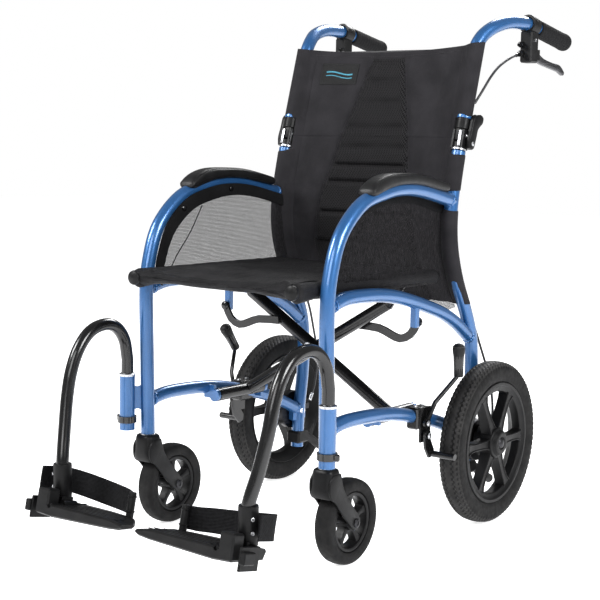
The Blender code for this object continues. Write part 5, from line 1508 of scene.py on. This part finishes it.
def guards(side, s):
    """Net panels under the armrests, gathered on a binding that follows the arch."""
    upper = smooth_path(
        [
            (0, -0.256, 0.47), (0, -0.25, 0.506), (0, -0.225, 0.564), (0, -0.172, 0.609),
            (0, -0.108, 0.629), (0, -0.05, 0.636), (0, 0.018, 0.632), (0, 0.119, 0.612)
        ],
        8
    )
    lower = smooth_path(
        [
            (0, -0.25, 0.464), (0, -0.22, 0.464), (0, -0.16, 0.464), (0, -0.09, 0.458), (0, -0.02, 0.446),
            (0, 0.04, 0.43), (0, 0.105, 0.409), (0, 0.176, 0.412)
        ],
        8
    )
    count = min(len(upper), len(lower))
    x = 0.1895 * s
    rows = []
    for i in range(count):
        row = []
        for k in range(33):
            t = k / 32
            p = upper[i].lerp(lower[i], t)
            p.y -= 0.017 * math.sin(math.pi * t) * (i / (count - 1)) ** 4
            pinch = 0.0035 * math.sin(math.pi * t)
            ripple = noise.noise(
                Vector((p.y * 15 + p.z * 9, p.z * 7, 3.0 + s))
            ) * (0.005 + 0.003 * s) * math.sin(math.pi * t)
            dart = 0.0022 * math.exp(
                -(((p.y - (-0.1359 + (p.z - 0.5997) * 0.768)) / 0.004) ** 2)
            ) * ramp(0.605 - p.z, 0.0, 0.02)
            row.append(Vector((x - s * (pinch + ripple * 0.6 + dart) , p.y, p.z)))
        rows.append(row)
    piece = Piece(f"guard_net_{side}")
    piece.grid(rows, NET)
    net = piece.done(f"frame_{side}", "mesh_cloth", f"side_guard_{side}", angle=70)

    bind = Piece(f"guard_binding_{side}")
    strip = []
    for i in range(count):
        direction = (lower[i] - upper[i]).normalized()
        a, b = upper[i] - direction * 0.004, upper[i] + direction * 0.021
        puff = 0.0006 * math.sin(i * 0.9)
        strip.append(
            [
                a + Vector((x - s * 0.0016, 0, 0)),
                a.lerp(b, 0.5) + Vector((x - s * (0.0034 + puff), 0, 0)), b + Vector((x - s * 0.004, 0, 0)),
                b + Vector((x - s * 0.0022, 0, 0)), b + Vector((x + s * 0.001, 0, 0)),
                a + Vector((x + s * 0.001, 0, 0))
            ]
        )
    bind.grid(strip, BINDING, wrap=True, caps=True)
    seam = [
        Vector((x - s * 0.0052, y, z)) for y,
        z in ((-0.1359, 0.5997), (-0.169, 0.55), (-0.2072, 0.5069), (-0.224, 0.48))
    ]
    bind.tube(smooth_path(seam, 5), 0.0009, BINDING, 8)
    for y, z in ((-0.185, 0.595), (-0.05, 0.63)):
        bind.lathe(
            [(0.0052, 0.0), (0.005, 0.0018), (0.0028, 0.003), (0.0001, 0.0032)], (x - s * 0.004, y, z),
            (-s, 0, 0), GLOSS, 24
        )
    bind.done(f"frame_{side}", "mesh_cloth", angle=50)


# ---------------------------------------------------------------- assembly
camera_data = bpy.data.cameras.new("camera")
camera_data.lens = 80.465
camera_data.sensor_width = 36.0
camera = bpy.data.objects.new("camera", camera_data)
camera.matrix_world = Matrix(
    (
        (0.79847, -0.08274, 0.59632, 1.48396), (0.60173, 0.07815, -0.79487, -2.04716),
        (0.01917, 0.9935, 0.11219, 0.70908), (0, 0, 0, 1)
    )
)
bpy.context.scene.collection.objects.link(camera)
bpy.context.scene.camera = camera

for side, s in SIDES.items():
    side_frames(side, s)
    rear_wheels(side, s)
    casters(side, s)
    armrests(side, s)
    handles(side, s)
    hinges(side, s)
    footrests(side, s)
    brakes(side, s)
    guards(side, s)
braces()

seat_piece = seat()
cushion = seat_piece.done(None, "upholstery", "seat_sling", angle=70)
settle(cushion, 1.6, 0.005, hold=lambda p: abs(p.x) > 0.16)
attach(cushion, "seat")
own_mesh(cushion)

back_cloth("back_panel_lower", 0.4205, 0.746, 0.003, "frame_right", 0, "back_sling_lower")
back_cloth("back_panel_upper", 0.736, 0.9125, 0.0028, "handle_right", 0, "back_sling_upper")
for side, s in SIDES.items():
    back_cloth(f"back_sleeve_lower_{side}", 0.4205, 0.746, 0.003, f"frame_{side}", s)
    back_cloth(f"back_sleeve_upper_{side}", 0.736, 0.9125, 0.0028, f"handle_{side}", s)
back_details()
for name in (
    "back_panel_lower", "back_panel_upper", "back_stitching_upper", "back_stitching_lower", "woven_label"
):
    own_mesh(bpy.data.objects[name])


# ---------------------------------------------------------------- floor and light
def stage():
    floor_paint = Paint("studio_floor", (0.86, 0.86, 0.87), 0.6)
    floor_paint.colour(floor_paint.noise(3.0, 3.0), (0.86, 0.86, 0.87), (0.89, 0.89, 0.9))
    floor_paint.set("Emission Color", (1.0, 1.0, 1.0, 1))
    floor_paint.set("Emission Strength", FLOOR_GLOW)
    mesh = bpy.data.meshes.new("floor")
    mesh.from_pydata([(-12, -12, 0), (12, -12, 0), (12, 12, 0), (-12, 12, 0)], [], [(0, 1, 2, 3)])
    floor = bpy.data.objects.new("floor", mesh)
    mesh.materials.append(floor_paint.mat)
    bpy.context.scene.collection.objects.link(floor)
    world = bpy.data.worlds.new("studio")
    world.use_nodes = True
    links, nodes = world.node_tree.links, world.node_tree.nodes
    background = nodes["Background"]
    background.inputs["Color"].default_value = (1.0, 1.0, 1.0, 1)
    seen = nodes.new("ShaderNodeMapRange")
    seen.inputs["To Min"].default_value = WORLD_LIGHT
    seen.inputs["To Max"].default_value = 1.0
    links.new(nodes.new("ShaderNodeLightPath").outputs["Is Camera Ray"], seen.inputs["Value"])
    links.new(seen.outputs["Result"], background.inputs["Strength"])
    bpy.context.scene.world = world
    for name, place, size, power, aim in (
        ("key", (-2.2, -2.6, 2.8), 1.5, 130.0, (0, 0, 0.5)),
        ("side", (2.8, -0.4, 2.0), 1.2, 80.0, (0, 0, 0.5)),
        ("front", (0.9, -3.4, 2.0), 1.6, 45.0, (0, 0, 0.5)),
        ("rim", (-0.6, 2.8, 2.8), 1.4, 90.0, (0, 0, 0.6)),
    ):
        data = bpy.data.lights.new(name, "AREA")
        data.size = size
        data.energy = power
        lamp = bpy.data.objects.new(name, data)
        lamp.location = place
        lamp.rotation_mode = "QUATERNION"
        lamp.rotation_quaternion = (Vector(aim) - Vector(place)).to_track_quat("-Z", "Y")
        bpy.context.scene.collection.objects.link(lamp)
    bpy.context.scene.view_settings.view_transform = "Standard"
    bpy.context.scene.view_settings.gamma = VIEW_GAMMA


stage()
